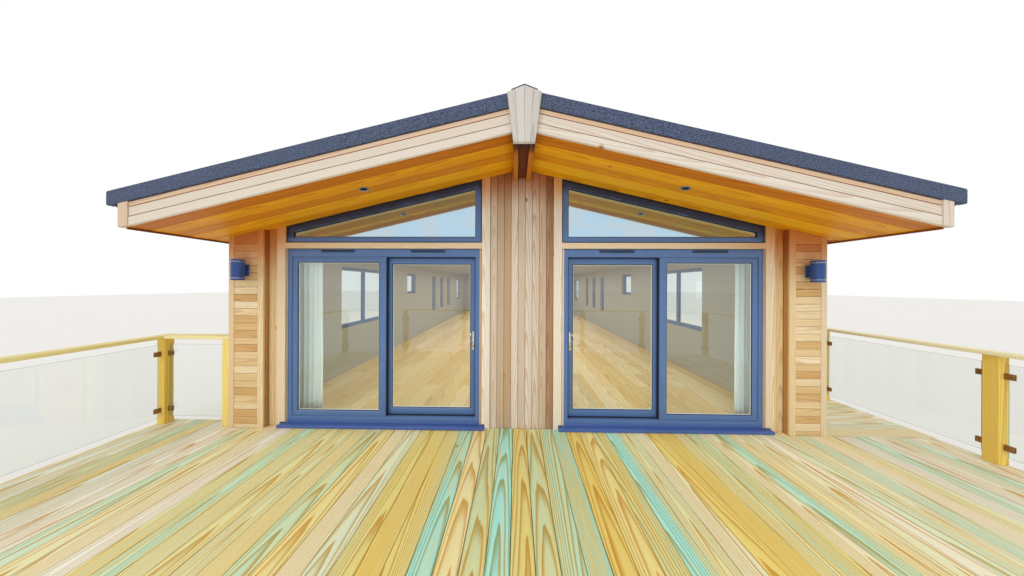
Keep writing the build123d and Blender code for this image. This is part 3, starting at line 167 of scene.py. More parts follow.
def timber(s, tones, late, ring=0.004, knots=0.0, roughness=0.62, contrast=0.5, reeded=False, plain=False,
           fibre=0.12, bump=0.5, arches=0.02, sheltered=0.0, reach=-0.36, oil="c4782c", stained=False):
    """Sawn or planed softwood. The tones run from board to board, ring is the growth ring's spacing in metres, and
    the grain follows each board by its own attribute. A plain piece has no boards, and its grain runs along Y."""
    if plain:
        place = s.add("Mapping", {"Vector": s.place(), "Rotation": (0, 0, -math.pi / 2),
                                  "Location": (0, 0.03, 0.11)}).outputs["Vector"]
    else:
        place = s.add("Attribute", attribute_name="grain").outputs["Vector"]
    board = s.add("Attribute", attribute_name="board").outputs["Fac"]
    # The trunk tapers and bends, so the saw runs in and out of the rings and leaves arches a foot or two long.
    bend = s.noise(s.vector("MULTIPLY", place, (0.5, 5, 5)), 1.0, 1.5, "Color")
    bend = s.vector("SUBTRACT", bend, (0.5, 0.5, 0.5))
    drawn = s.vector("MULTIPLY_ADD", bend, (0, arches * 0.6, arches), s.vector("MULTIPLY", place, (0.045, 1, 1)))
    taper = s.number("MULTIPLY", s.split(place)["X"], 0.4 * arches)
    drawn = s.vector("ADD", drawn, s.add("CombineXYZ", {"Z": taper}).outputs["Vector"])
    # Growth rings, cut by the saw into long arches: pale early wood that darkens to a thin late line.
    rings = s.add("TexWave", {"Vector": drawn, "Scale": WAVE / ring, "Distortion": 2.2, "Detail": 2.5,
                              "Detail Scale": 0.35, "Detail Roughness": 0.55},
                  wave_type="RINGS", rings_direction="X", wave_profile="SAW").outputs["Fac"]
    lines = s.ramp(rings, (0.0, 1.0), (0.5, 0.95), (0.84, late), (0.94, late), (1.0, 1.0))
    # Fibres, a fraction of a millimetre wide in the real board, are drawn about 2 mm wide so that they show.
    strands = s.noise(s.vector("MULTIPLY", place, (9, 420, 420)), 1.0, 3.0, Roughness=0.6)
    fibres = s.ramp(strands, (0.25, 1 - 2 * fibre), (0.5, 1 - fibre * 0.4), (0.75, 1.0))
    # Slow drift of colour along and across a board, as oil and weather leave it.
    drift = s.noise(s.vector("MULTIPLY", place, (0.7, 22, 22)), 1.0, 3.0)
    shade = s.number("ADD", s.number("MULTIPLY_ADD", drift, 0.34, -0.17), board, use_clamp=True)
    tones = tones.split()
    base = s.ramp(shade, *((index / (len(tones) - 1), tone) for index, tone in enumerate(tones)))
    if reeded:
        # Copper salts from the pressure treatment stay as a patchy mint on some boards, under the grain's lines.
        green = s.add("Attribute", attribute_name="green").outputs["Fac"]
        patch = s.span(drift, 0.36, 0.56, 0.35, 1.15)
        base = s.mix(s.number("MULTIPLY", green, patch, use_clamp=True), base, "b0f8f2", "MIX")
    wood = s.mix(1.0, s.mix(contrast, base, lines), fibres)
    if knots:
        spots = s.add("TexVoronoi", {"Vector": s.vector("MULTIPLY", place, (0.8, 1, 1)), "Scale": knots},
                      feature="F1").outputs["Distance"]
        spots = s.number("MULTIPLY_ADD", strands, 0.004, s.number("MULTIPLY", spots, 1 / knots))
        wood = s.mix(0.9, wood, s.ramp(spots, (0.006, "5e3517"), (0.011, "8a5526"), (0.016, "d9b184"), (0.03, 1.0)))
    if sheltered:
        # Painted shade and painted warm bounce light: close under the soffit the boards darken to the orange brown of
        # the amber soffit's glow.
        wood = s.mix(s.under_soffit(drift, reach, 0.10, sheltered), wood, oil)
    if stained:
        # The first hand's breadth of the beam, just behind the keystone, turns near black in streaks along the fibres.
        run = s.number("MULTIPLY_ADD", strands, 0.34, s.split(s.place())["Y"])
        wood = s.mix(s.span(run, -0.49, -0.37, 0.9, 0.0), wood, "2b130c", "MIX")
    normal = s.bump(s.number("MULTIPLY_ADD", rings, 0.5, strands), bump, 0.0006)
    if reeded:
        # Reeding planed along the board at a pitch of 7.5 mm, a millimetre and a half deep, darker in its troughs.
        ribs = s.add("TexWave", {"Vector": place, "Scale": WAVE / 0.0075}, wave_type="BANDS", bands_direction="Y",
                     wave_profile="SIN").outputs["Fac"]
        wood = s.mix(0.4, wood, s.ramp(ribs, (0.0, "cdb488"), (0.3, "f4ead4"), (0.55, 1.0)))
        normal = s.bump(ribs, 0.8, 0.0015, Normal=normal)
    matt = s.span(strands, 0.0, 1.0, roughness - 0.1, roughness + 0.12)
    s.end(s.add("BsdfPrincipled", {"Base Color": wood, "Roughness": matt, "Normal": normal, "IOR": 1.47,
                                   "Specular IOR Level": 0.4}))


def grained(s, colour, other, spread, roughness, metallic=0.0, scale=900.0, bump=0.2, depth=0.0002,
            stretch=(1, 1, 1), ior=1.5, mottle=0.25, detail=2.0, sheltered=0.0):
    """A surface of one substance with a fine grain: two close colours, and roughness and bump that follow it."""
    place = s.vector("MULTIPLY", s.place(), stretch)
    fine, broad = s.noise(place, scale, detail, Roughness=0.6), s.noise(place, 6.0, 3.0)
    blend, middle = s.number("MULTIPLY_ADD", broad, mottle, fine), 0.5 + 0.5 * mottle
    tint = s.mix(s.span(blend, middle - spread, middle + spread), colour, other, "MIX")
    if sheltered:
        # Painted shade: close under the soffit the foil darkens to a blue that is nearly black.
        tint = s.mix(s.under_soffit(broad, -0.10, 0.06, sheltered), tint, "141a30", "MIX")
    matt = s.span(broad, 0.3, 0.7, roughness - 0.05, roughness + 0.05)
    s.end(s.add("BsdfPrincipled", {"Base Color": tint, "Roughness": matt, "Normal": s.bump(fine, bump, depth),
                                   "Metallic": metallic, "IOR": ior}))


def pane(s, tint, smear=0.02, second=0.0, metal=0.0):
    """Float glass: clear, faintly tinted, with a little smear that only shows in its gloss. It lets lamps through.
    The coat stands for the second sheet of a sealed unit, which doubles what the glass mirrors, and metal is the
    share of light that a solar-control film turns back."""
    film = s.span(s.noise(s.place(), 3.0, 4.0), 0.45, 0.8, 0.0, smear)
    glass = s.add("BsdfPrincipled", {
        "Base Color": tint, "Roughness": film, "Transmission Weight": 1.0, "IOR": 1.5, "Metallic": metal,
        "Coat Weight": second, "Coat IOR": 1.6, "Coat Roughness": 0.01})
    path = s.add("LightPath").outputs
    lit = s.number("MAXIMUM", path["Is Shadow Ray"], path["Is Diffuse Ray"])
    s.end(s.add("MixShader", {0: lit, 1: glass.outputs[0], 2: s.add("BsdfTransparent", {"Color": tint}).outputs[0]}))


# Each finish: its kind, that kind's arguments, and the named ones last. Its comment says what it gives the eye.
FINISHES = {
    # Western red cedar, planed and left bare: pinkish tan boards that differ from one to the next. Close under the
    # soffit, painted orange-brown shade.
    "cedar_planed": (timber, "94694a b59878 c6b4a0 cfc1b1 dad0c6", "c9a888",
                     dict(ring=0.0035, knots=3.2, sheltered=0.9)),
    # The same cedar ripped into short pier boards and slats: the widest spread, from straw to orange brown. Painted
    # orange-brown shade reaches furthest below the soffit.
    "cedar_pier": (timber, "ac7a40 c69a5e d6b47f e2ca9e ecdcbe", "c9a888",
                   dict(ring=0.0035, knots=2.6, contrast=0.45, sheltered=0.95, reach=-0.58, oil="d58a34")),
    # Fresh sawn cedar trim: even, nearly cream, with faint lines. Close under the soffit, painted orange-brown shade.
    "cedar_trim": (timber, "e1c79e e0d3be e1dad1", "d0b694", dict(knots=2.2, sheltered=0.9, oil="de9c48")),
    # Pale fascia boards, planed: pinkish cream, straight grained.
    "fascia_pale": (timber, "d8a66c d5c8b8 ddd4ca", "d4b89e", dict(ring=0.0045, knots=1.2, contrast=0.4, fibre=0.06)),
    # The keystone's boards, cut from the same pale stock with the grain upright.
    "keystone_pale": (timber, "bfb9b4 cac5c1 d3d0cd", "c8bcb0", dict(ring=0.005, contrast=0.45, fibre=0.06)),
    # Cedar in a dark orange brown for the fascia grooves and the eaves beads: painted shade in the grooves and under
    # the soffit's edge.
    "cedar_groove": (timber, "7a3a0c 945018", "7a441c", dict(ring=0.006)),
    # Soffit boards with an amber oil: saturated, with darker knots and a slight satin.
    "soffit_amber": (timber, "a44e02 cc7a02 e29804 eeaa08 f4b91c", "b8700e",
                     dict(ring=0.0045, knots=3.4, roughness=0.5, contrast=0.45)),
    # The ridge beam in the same oil. Its recessed middle timber takes the darkest tones as painted shade, and its
    # front end behind the keystone turns near black.
    "beam_stained": (timber, "54200c 86401a b8651c d0862a", "8a5430",
                     dict(ring=0.005, roughness=0.55, contrast=0.6, stained=True)),
    # Pressure-treated pine decking: strong golden late wood on straw, with reeding.
    "deck_pine": (timber, "f3d05c f7df78 f9ecaa faf4d2 fcfaf0", "d8a438",
                  dict(ring=0.005, knots=2.2, contrast=0.8, reeded=True, roughness=0.66, arches=0.022, fibre=0.05)),
    # The rails' planed pine: bright straw, rounded edges.
    "rail_pine": (timber, "e6b440 efcc5c f0e08e", "cf9a34", dict(ring=0.006, knots=2.0, fibre=0.06)),
    # Handrail caps of the same pine, bleached nearly to cream on top.
    "handrail_pine": (timber, "ebdf98 f1e8b8 f5efd2", "e0c070", dict(ring=0.006, knots=1.6, contrast=0.4, fibre=0.05)),
    # Joists and posts below the deck, sawn and green with treatment.
    "sawn_pine": (timber, "a79a5e b7ab72 c2b88a", "96803f",
                  dict(ring=0.008, plain=True, knots=2.0, contrast=0.7, roughness=0.8)),
    # Structural softwood of the roof panels and the floor, which only shows at a cut edge: plain and matt.
    "sawn_softwood": (timber, "c9a878 d4b88c", "b08a58", dict(ring=0.006, plain=True, roughness=0.8)),
    # Laminated pale oak planks on the room's floor.
    "oak_planks": (timber, "e2c084 ecce98 f2dcae", "c9a066", dict(ring=0.0045, roughness=0.4, bump=0.15)),
    # Window profile in a foiled uPVC: a fine leathery emboss with a satin face. Its colours are the user's. Close
    # under the soffit, painted shade nearly black.
    "upvc_foiled": (grained, "frame_dark", "frame_light", 0.35, 0.38,
                    dict(scale=700.0, bump=0.25, ior=1.53, sheltered=0.9)),
    # Cills in the same foil, bluer and glossier where rain wipes them.
    "upvc_cill": (grained, "35508f", "4360a2", 0.35, 0.42, dict(scale=500.0, ior=1.53, mottle=0.1)),
    # Extruded rubber of gaskets and seals, and the dark mouths of the downlights: near black and matt. On the gable's
    # black strip and the wide door seals it is painted shade.
    "rubber_gasket": (grained, "14161b", "202329", 0.4, 0.7, dict(scale=400.0, ior=1.52)),
    # Door and window panes: two clear sheets, nearly without colour.
    "glass_float": (pane, "f1f8f7", dict(second=0.7)),
    # Balustrade panels: one clear toughened sheet, with more smear than the panes.
    "glass_toughened": (pane, "f9fdfb", dict(smear=0.03)),
    # Gable panes carry a thin metal film against the sun: it mirrors the sky and the soffit in a cool blue.
    "glass_coated": (pane, "c8e9fc", dict(second=1.0, metal=0.65)),
    # Polished edge of toughened glass: the iron in it reads green where light runs along the sheet.
    "glass_edge": (grained, "6f9c88", "8fb8a6", 0.4, 0.2, dict(scale=200.0, ior=1.52)),
    # Spacer bar between the two sheets: satin white, perforated for its drying grains.
    "spacer_bar": (grained, "d9dcdc", "eceeee", 0.3, 0.45, dict(scale=500.0)),
    # Brass lock cylinder, lacquered: a small warm glint beside the chrome.
    "brass_lacquered": (grained, "b8913a", "d2ad58", 0.4, 0.25, dict(metallic=1.0, scale=300.0)),
    # Trickle vent hoods in moulded dark plastic.
    "vent_moulded": (grained, "14203c", "1d2b4c", 0.4, 0.45, dict(scale=400.0, ior=1.49)),
    # Chromed handle: bright and smooth, the grain only just breaks its gloss.
    "chrome_plated": (grained, "dfe2e6", "eceef0", 0.5, 0.12, dict(metallic=1.0, bump=0.03)),
    # Brushed stainless clamps, tea-stained brown by the weather.
    "steel_brushed": (grained, "8a6038", "b08a5c", 0.5, 0.42,
                      dict(metallic=0.85, scale=300.0, stretch=(1, 1, 8), bump=0.3)),
    # Zinc screws, dulled: rows of dark dots along the joists.
    "screw_zinc": (grained, "5c5138", "7d7152", 0.5, 0.5, dict(metallic=0.6, scale=400.0)),
    # Chassis steel in black bitumen paint: soft, uneven gloss.
    "chassis_painted": (grained, "191a1c", "26282b", 0.4, 0.5, dict(scale=120.0, depth=0.0006)),
    # Cast concrete pads: pitted and dusty.
    "concrete_cast": (grained, "8c8983", "a9a59c", 0.4, 0.88, dict(scale=160.0, bump=0.6, depth=0.0015)),
    # Pressed steel roof tile with stone granules: each is 1 to 2 mm, so it glitters dark and pale.
    "tile_granules": (grained, "172037", "5c6a8a", 0.12, 0.85,
                      dict(scale=110.0, bump=0.8, depth=0.003, mottle=0.06, detail=5.0)),
    # Gutter in extruded PVC: dark, with a satin streak of light along it.
    "gutter_pvc": (grained, "23262c", "2f333a", 0.4, 0.35, dict(scale=300.0, ior=1.53)),
    # Painted lining board: roller stipple, in a grey that is painted shade and painted dark reflection for the dim
    # room behind the doors.
    "wall_painted": (grained, "9e9a8e", "a8a498", 0.4, 0.7, dict(scale=260.0, depth=0.0006)),
    # Powder-coated wall light: orange peel, satin.
    "powder_coat": (grained, "1d3f80", "284f96", 0.35, 0.36, dict(scale=420.0, bump=0.35, depth=0.0003)),
    # Spun aluminium of rings, downlight rims and curtain rails: bright grey, with fine turned lines.
    "aluminium_spun": (grained, "a3a3a8", "c2c2c6", 0.5, 0.3, dict(metallic=1.0, scale=200.0, stretch=(1, 1, 12))),
    # Breather membrane behind open joints: black and dull.
    "membrane_black": (grained, "0f1011", "191a1b", 0.4, 0.9, dict(scale=90.0)),
    # Frosted lens of a lamp: milky, with no clear mirror image.
    "lens_frosted": (grained, "e8e4da", "f4f1ea", 0.4, 0.35, dict(scale=200.0)),
    # Woven linen curtain: off-white, dull, with its weave just felt.
    "linen_woven": (grained, "ecefee", "fafafa", 0.35, 0.9, dict(scale=380.0, bump=0.5, depth=0.0008, mottle=0.1)),
}


MADE = {}


def finish(name):
    """The material of that name, made at its first use. A word that names one of the user's colours becomes it."""
    if name not in MADE:
        MADE[name] = bpy.data.materials.new(name)
        look = bpy.context.scene.caravan_look
        kind, *values, named = FINISHES[name]
        values = [getattr(look, value, value) if isinstance(value, str) else value for value in values]
        kind(Surface(MADE[name]), *values, **named)
    return MADE[name]


# ---------------------------------------------------------------- modelling by hand

def clear_selection():
    """Leaves edit mode and deselects everything, because an operator acts on all that is selected."""
    if bpy.context.object and bpy.context.object.mode != "OBJECT":
        bpy.ops.object.mode_set(mode="OBJECT")
    bpy.ops.object.select_all(action="DESELECT")


def take_up(piece):
    """Makes one piece the only selected and active one."""
    clear_selection()
    piece.select_set(True)
    bpy.context.view_layer.objects.active = piece


def edit(*steps):
    """Takes steps in edit mode, each an operator and its choices, on the whole of the active piece."""
    bpy.ops.object.mode_set(mode="EDIT")
    bpy.ops.mesh.select_all(action="SELECT")
    for operator, choices in steps:
        operator(**choices)
    bpy.ops.object.mode_set(mode="OBJECT")


def pick(piece, kind, test):
    """Enters edit mode with only those points or faces of a piece selected that pass a test."""
    parts = piece.data.vertices if kind == "VERT" else piece.data.polygons
    bpy.ops.object.mode_set(mode="EDIT")
    bpy.ops.mesh.select_mode(type=kind)
    bpy.ops.mesh.select_all(action="DESELECT")
    bpy.ops.object.mode_set(mode="OBJECT")
    for part in parts:
        part.select = test(part)
    bpy.ops.object.mode_set(mode="EDIT")


def bevel(offset, segments=1):
    """The step that bevels the edges."""
    return bpy.ops.mesh.bevel, dict(offset=offset, segments=segments, affect="EDGES")


def smooth(degrees=40):
    bpy.ops.object.shade_smooth_by_angle(angle=math.radians(degrees))


def modify(piece, kind, **settings):
    """Gives a piece a modifier and applies it."""
    modifier = piece.modifiers.new(kind, kind)
    for name, value in settings.items():
        setattr(modifier, name, value)
    take_up(piece)
    bpy.ops.object.modifier_apply(modifier=modifier.name)


def round_edges(piece, width, segments, degrees):
    """Rounds the edges that are sharper than an angle."""
    modify(piece, "BEVEL", width=width, segments=segments, limit_method="ANGLE", angle_limit=math.radians(degrees))
    smooth()


def clothe(piece, material):
    """Gives a piece, or the CAD node of that name, its one finish."""
    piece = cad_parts[piece] if isinstance(piece, str) else piece
    piece.data.materials.clear()
    piece.data.materials.append(finish(material))


def fit(piece, material, slot, *nodes, body="building"):
    """Gives a finished piece its finish and its body, and hides the nodes that it stands for. Its slot is not used."""
    clothe(piece, material)
    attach(piece, body)
    if nodes:
        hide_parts(*nodes)


def pattern_of(piece):
    """The points and faces of a modelled pattern, which is then put away."""
    points = np.array([vertex.co for vertex in piece.data.vertices])
    faces = [tuple(face.vertices) for face in piece.data.polygons]
    bpy.data.objects.remove(piece)
    return points, faces


def planed_board(edge):
    """Models one board as a cube with its edges planed off."""
    clear_selection()
    bpy.ops.mesh.primitive_cube_add(size=PATTERN)
    edit(bevel(edge))
    return pattern_of(bpy.context.object)


class Copies:
    """Copies of one modelled pattern, joined to one mesh."""

    def __init__(self, pattern):
        self.shape, self.faces = pattern
        self.points, self.rings = [], []

    def put(self, points, turned=False):
        """Adds a copy with its own points. A mirrored one has its faces turned."""
        start = len(self.points) * len(self.shape)
        self.points.append(points)
        self.rings += [tuple(start + corner for corner in (face[::-1] if turned else face)) for face in self.faces]

    def joined(self, name):
        mesh = bpy.data.meshes.new(name)
        mesh.from_pydata(np.concatenate(self.points).tolist(), [], self.rings)
        piece = bpy.data.objects.new(name, mesh)
        bpy.context.scene.collection.objects.link(piece)
        return piece


class Boards(Copies):
    """The boards of one group. Each is a copy of one planed board, drawn out to its own size, with its own tone and
    its own cut of the tree."""

    def __init__(self, edge, seed):
        super().__init__(planed_board(edge))
        self.random = np.random.default_rng(seed)
        self.marks = {"grain": [], "board": [], "green": []}

    def lay(self, low, high, along, top=None, raked=False, tone=None, green=0.0, like=None, warp=None):
        """Adds a board from its low to its high corner. top gives a raked upper end, raked sets the board along the
        roof's slope with Z as its offset from the soffit line, and like continues another board's grain."""
        low, high = np.array(low, float), np.array(high, float)
        points = self.shape + np.sign(self.shape) * ((high - low) / 2 - PATTERN / 2) + (low + high) / 2
        if like is None:
            first = "xyz".index(along)
            rest = sorted({0, 1, 2} - {first}, key=lambda axis: low[axis] - high[axis])
            shift = self.random.uniform((0, -0.11, 0.012), (50, 0.11, 0.045))
            like = ((low + high) / 2, [first, *rest], shift, self.random.random() if tone is None else tone)
        middle, order, shift, value = like
        self.marks["grain"].append((points - middle)[:, order] + shift)
        self.marks["board"].append(np.full(len(points), value))
        self.marks["green"].append(np.full(len(points), green))
        if top is not None:
            upper = self.shape[:, 2] > 0
            points[upper, 2] += top(points[upper, 0]) - high[2]
        if raked:
            points[:, 2] += soffit(points[:, 0])
        self.put(points if warp is None else warp(points))
        return like

    def pair(self, low, high, along, **choices):
        """Adds a board on the right and its like on the left."""
        self.lay(low, high, along, **choices)
        self.lay((-high[0], low[1], low[2]), (-low[0], high[1], high[2]), along, **choices)

    def fitted(self, name, material, slot, *nodes, body="building"):
        """Joins the group to one piece, with its grain and tones as attributes, and fits it."""
        piece = self.joined(name)
        for mark, values in self.marks.items():
            kind, field = ("FLOAT_VECTOR", "vector") if mark == "grain" else ("FLOAT", "value")
            store = piece.data.attributes.new(mark, kind, "POINT")
            store.data.foreach_set(field, np.concatenate(values).astype(np.float32).ravel())
        piece.data.update()
        fit(piece, material, slot, *nodes, body=body)


def merged_copy(node, name):
    """A copy of a CAD node with its loose triangles merged and its flat faces joined."""
    piece = bpy.data.objects.new(name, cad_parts[node].data.copy())
    bpy.context.scene.collection.objects.link(piece)
    take_up(piece)
    edit((bpy.ops.mesh.remove_doubles, dict(threshold=0.00002)),
         (bpy.ops.mesh.dissolve_limited, dict(angle_limit=math.radians(0.5))))
    return piece


def solid_boxes(node):
    """The lowest and highest corner of each solid of a CAD node."""
    merged_copy(node, "solids")
    edit((bpy.ops.mesh.separate, dict(type="LOOSE")))
    boxes = []
    for part in list(bpy.context.selected_objects):
        points = pattern_of(part)[0]
        boxes.append((points.min(0), points.max(0)))
    return sorted(boxes, key=lambda box: tuple(box[0]))


def eased(node, width, material, slot, body="building", segments=2):
    """A copy of a CAD node with its edges rounded, which stands for the node."""
    piece = merged_copy(node, node + "_eased")
    round_edges(piece, width, segments, 35)
    fit(piece, material, slot, node, body=body)


def placed(piece, name):
    """Names a new piece and applies its place, turn and size."""
    piece.name = name
    bpy.ops.object.transform_apply(location=True, rotation=True, scale=True)
    return piece


def moulded_block(name, low, high, edge, segments, cut=None):
    """Models a small block between two corners: a cube drawn to size, with its edges cut back, then rounded."""
    clear_selection()
    low, high = Vector(low), Vector(high)
    bpy.ops.mesh.primitive_cube_add(size=1, location=(low + high) / 2)
    bpy.context.object.scale = high - low
    piece = placed(bpy.context.object, name)
    if cut:
        edit(bevel(cut))
    round_edges(piece, edge, segments, 30)
    return piece


def disc(name, place, radius, depth, edge, segments=1, vertices=40, turn=0.0):
    """Models a round plate with its two rims bevelled."""
    clear_selection()
    bpy.ops.mesh.primitive_cylinder_add(vertices=vertices, radius=radius, depth=depth, location=place,
                                        rotation=(0, turn, 0), end_fill_type="NGON")
    piece = placed(bpy.context.object, name)
    edit(bevel(edge, segments))
    return piece


def round_windows(start, end, low, high, windows):
    """The parts of an upright board that are left below, above and beside the windows that it meets."""
    parts = [(start, end, low, high)]
    for centre, width, bottom, height in windows:
        left, right, top = centre - width / 2, centre + width / 2, bottom + height
        kept = []
        for a, b, c, d in parts:
            if b <= left or a >= right or d <= bottom or c >= top:
                kept.append((a, b, c, d))
                continue
            z0, z1 = max(bottom, c), min(top, d)
            cut = ((a, b, c, bottom), (a, b, top, d), (a, left, z0, z1), (right, b, z0, z1))
            kept += [part for part in cut if part[1] - part[0] > 0.01 and part[3] - part[2] > 0.01]
        parts = kept
    return parts


def slats(name, slot, node, seed, pitch, length=3.6, gap=0.012):
    """Fills each upright panel of a CAD node with level slats, in lengths that break joint."""
    boards = Boards(0.003, seed)
    for low, high in solid_boxes(node):
        axis = 0 if high[0] - low[0] > high[1] - low[1] else 1
        rows = max(1, round((high[2] - low[2]) / pitch))
        step = (high[2] - low[2]) / rows
        for row in range(rows):
            start, reach = low[axis], length * (0.5 if row % 2 else 1.0)
            while start < high[axis] - 0.01:
                end = min(start + reach, high[axis])
                if high[axis] - end < 0.4:
                    end = high[axis]
                a, b = low.copy(), high.copy()
                a[axis], b[axis] = start, end - (0.002 if end < high[axis] else 0)
                a[2] = low[2] + row * step
                b[2] = a[2] + step - gap
                boards.lay(a, b, "xy"[axis])
                start, reach = end, length
    boards.fitted(name, "cedar_pier", slot, node)


# ---------------------------------------------------------------- what a user would change

def metres(name, description, default, low, high):
    """A length in metres for the panel."""
    return bpy.props.FloatProperty(name=name, description=description, default=default, min=low, max=high,
                                   unit="LENGTH", subtype="DISTANCE")


class CaravanSizes(bpy.types.PropertyGroup):
    """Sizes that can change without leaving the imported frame."""
    centre_boards: bpy.props.IntProperty(
        name="Centre boards", description="Number of upright boards between the two doors", default=9, min=6, max=12)
    board_edge: metres("Board edge", "Width planed off each edge of a cladding board", 0.0032, 0.0005, 0.006)
    side_board: metres("Side board", "Pitch of the upright boards on the sides and the back", 0.122, 0.08, 0.2)
    pier_course: metres("Pier course", "Height of one level board on the piers", 0.085, 0.06, 0.15)
    deck_pitch: metres("Deck pitch", "Width of a deck board with its gap", 0.150, 0.1, 0.2)
    deck_gap: metres("Deck gap", "Gap between deck boards", 0.005, 0.002, 0.01)
    soffit_boards: bpy.props.IntProperty(
        name="Soffit boards", description="Number of boards across the porch soffit", default=5, min=3, max=9)
    tile_course: metres("Tile course", "Depth of one course of the pressed roof tiles", 0.36, 0.25, 0.45)
    tile_wave: metres("Tile wave", "Width of one roll of the roof tiles", 0.22, 0.15, 0.3)
    frame_round: metres("Frame rounding", "Rounding of the window profiles' edges", 0.003, 0.001, 0.005)


class CaravanLook(bpy.types.PropertyGroup):
    """Colours and light that a user would change."""
    frame_dark: bpy.props.StringProperty(
        name="Frame colour", description="sRGB hex of the foiled frames where they are darkest", default="3d5a8e")
    frame_light: bpy.props.StringProperty(
        name="Frame highlight", description="sRGB hex of the foiled frames where they are palest",
        default="5676a6")
    floor_colour: bpy.props.FloatVectorProperty(
        name="Stage floor", description="Colour of the plain floor under the caravan", size=3, min=0, max=1,
        subtype="COLOR", default=linear("e9e8e5"))
    sky: bpy.props.FloatProperty(
        name="Studio light", description="Strength of the even light from all round", default=0.85, min=0, max=3)
    key: bpy.props.FloatProperty(
        name="Key light", description="Strength of the soft key light from front left", default=0.95, min=0, max=5)


# ---------------------------------------------------------------- cladding

class CARAVAN_OT_front_boards(bpy.types.Operator):
    """Lays the upright boards of the door wall and the level boards of the two piers"""
    bl_idname = "caravan.front_boards"
    bl_label = "Front boards"

    def execute(self, context):
        sizes = context.scene.caravan_sizes
        upright = dict(along="z", top=behind_soffit)
        centre, half = Boards(sizes.board_edge, 11), 0.368
        width = 2 * half / sizes.centre_boards
        # Neighbours differ on purpose, as boards do that come mixed from the pack. The ninth board's darkest tone is a
        # painted shadow.
        pack_tones_and_shadow = (0.66, 0.36, 0.28, 0.88, 0.58, 0.8, 0.66, 0.46, 0.08, 0.7)
        for index in range(sizes.centre_boards):
            start = index * width - half
            centre.lay((start + HALF_JOINT, 0.0, CLAD_FOOT), (start + width - HALF_JOINT, CLAD_THICK, 3.4),
                       tone=pack_tones_and_shadow[index % len(pack_tones_and_shadow)], **upright)
        centre.pair((0.3683, 0.0, CLAD_FOOT), (0.4677, CLAD_THICK, 3.4), **upright)
        for x0, x1 in ((0.4680, 0.4945), (2.7725, 2.7952)):
            centre.pair((x0, 0.0, CLAD_FOOT), (x1, CLAD_THICK, 2.77), "z")
        centre.fitted("front_boards", "cedar_planed", "cedar_cladding", "front_cladding")
        # The open joints show the membrane behind, so they read as dark lines.
        skin, foot = Boards(0.0002, 14), 0.481
        skin.lay((-0.4940, 0.0184, foot), (0.4940, 0.0194, 2.76), "z")
        skin.pair((0.001, 0.0184, 2.765), (0.467, 0.0194, 3.39), **upright)
        skin.pair((2.7735, 0.0184, foot), (2.9940, 0.0194, 2.75), "z")
        skin.pair((3.02, -0.0460, foot), (3.402, -0.0450, 2.8), **upright)
        skin.fitted("front_membrane", "membrane_black", "cedar_cladding")

        # Each pier has level boards between two upright corner boards, which stand 4 mm prouder.
        piers, inner_corner, outer_corner = Boards(sizes.board_edge, 12), 0.068, 0.062
        height = behind_soffit(WALL_FACE) - CLAD_FOOT
        courses = round(height / sizes.pier_course)
        step = height / courses
        for side in (1, -1):
            x0, x1 = sorted((side * (PIER_INNER + inner_corner), side * (WALL_FACE - outer_corner)))
            for index in range(courses):
                low = CLAD_FOOT + index * step
                piers.lay((x0, PIER_FRONT + 0.001, low + 0.0013), (x1, PIER_FRONT + 0.02, low + step - 0.0013), "x",
                          top=behind_soffit if index == courses - 1 else None,
                          tone=0.34 + 0.62 * piers.random.random())
        for x0, x1, tone in ((2.7955, 2.9225, 0.72), (2.9250, 2.9945, 0.6)):
            piers.pair((x0, 0.0, CLAD_FOOT), (x1, CLAD_THICK, 2.9), tone=tone, **upright)
        front, back = PIER_FRONT - 0.003, PIER_FRONT + 0.019
        piers.pair((PIER_INNER, front, CLAD_FOOT), (PIER_INNER + inner_corner, back, 2.8), tone=0.78, **upright)
        piers.fitted("pier_boards", "cedar_pier", "cedar_cladding")
        corners = Boards(0.002, 13)
        corners.pair((WALL_FACE - outer_corner, front, CLAD_FOOT), (WALL_FACE, back, 2.8), **upright)
        corners.fitted("pier_corners", "cedar_trim", "cedar_cladding")
        returns = Boards(0.002, 15)
        # The return boards take the darkest tone: painted shade on the pier's side face towards the door.
        returns.pair((PIER_INNER, back + 0.0005, CLAD_FOOT), (PIER_INNER + 0.02, 0.0, 2.8), tone=0.1, **upright)
        returns.fitted("pier_returns", "cedar_pier", "cedar_cladding")
        return {"FINISHED"}


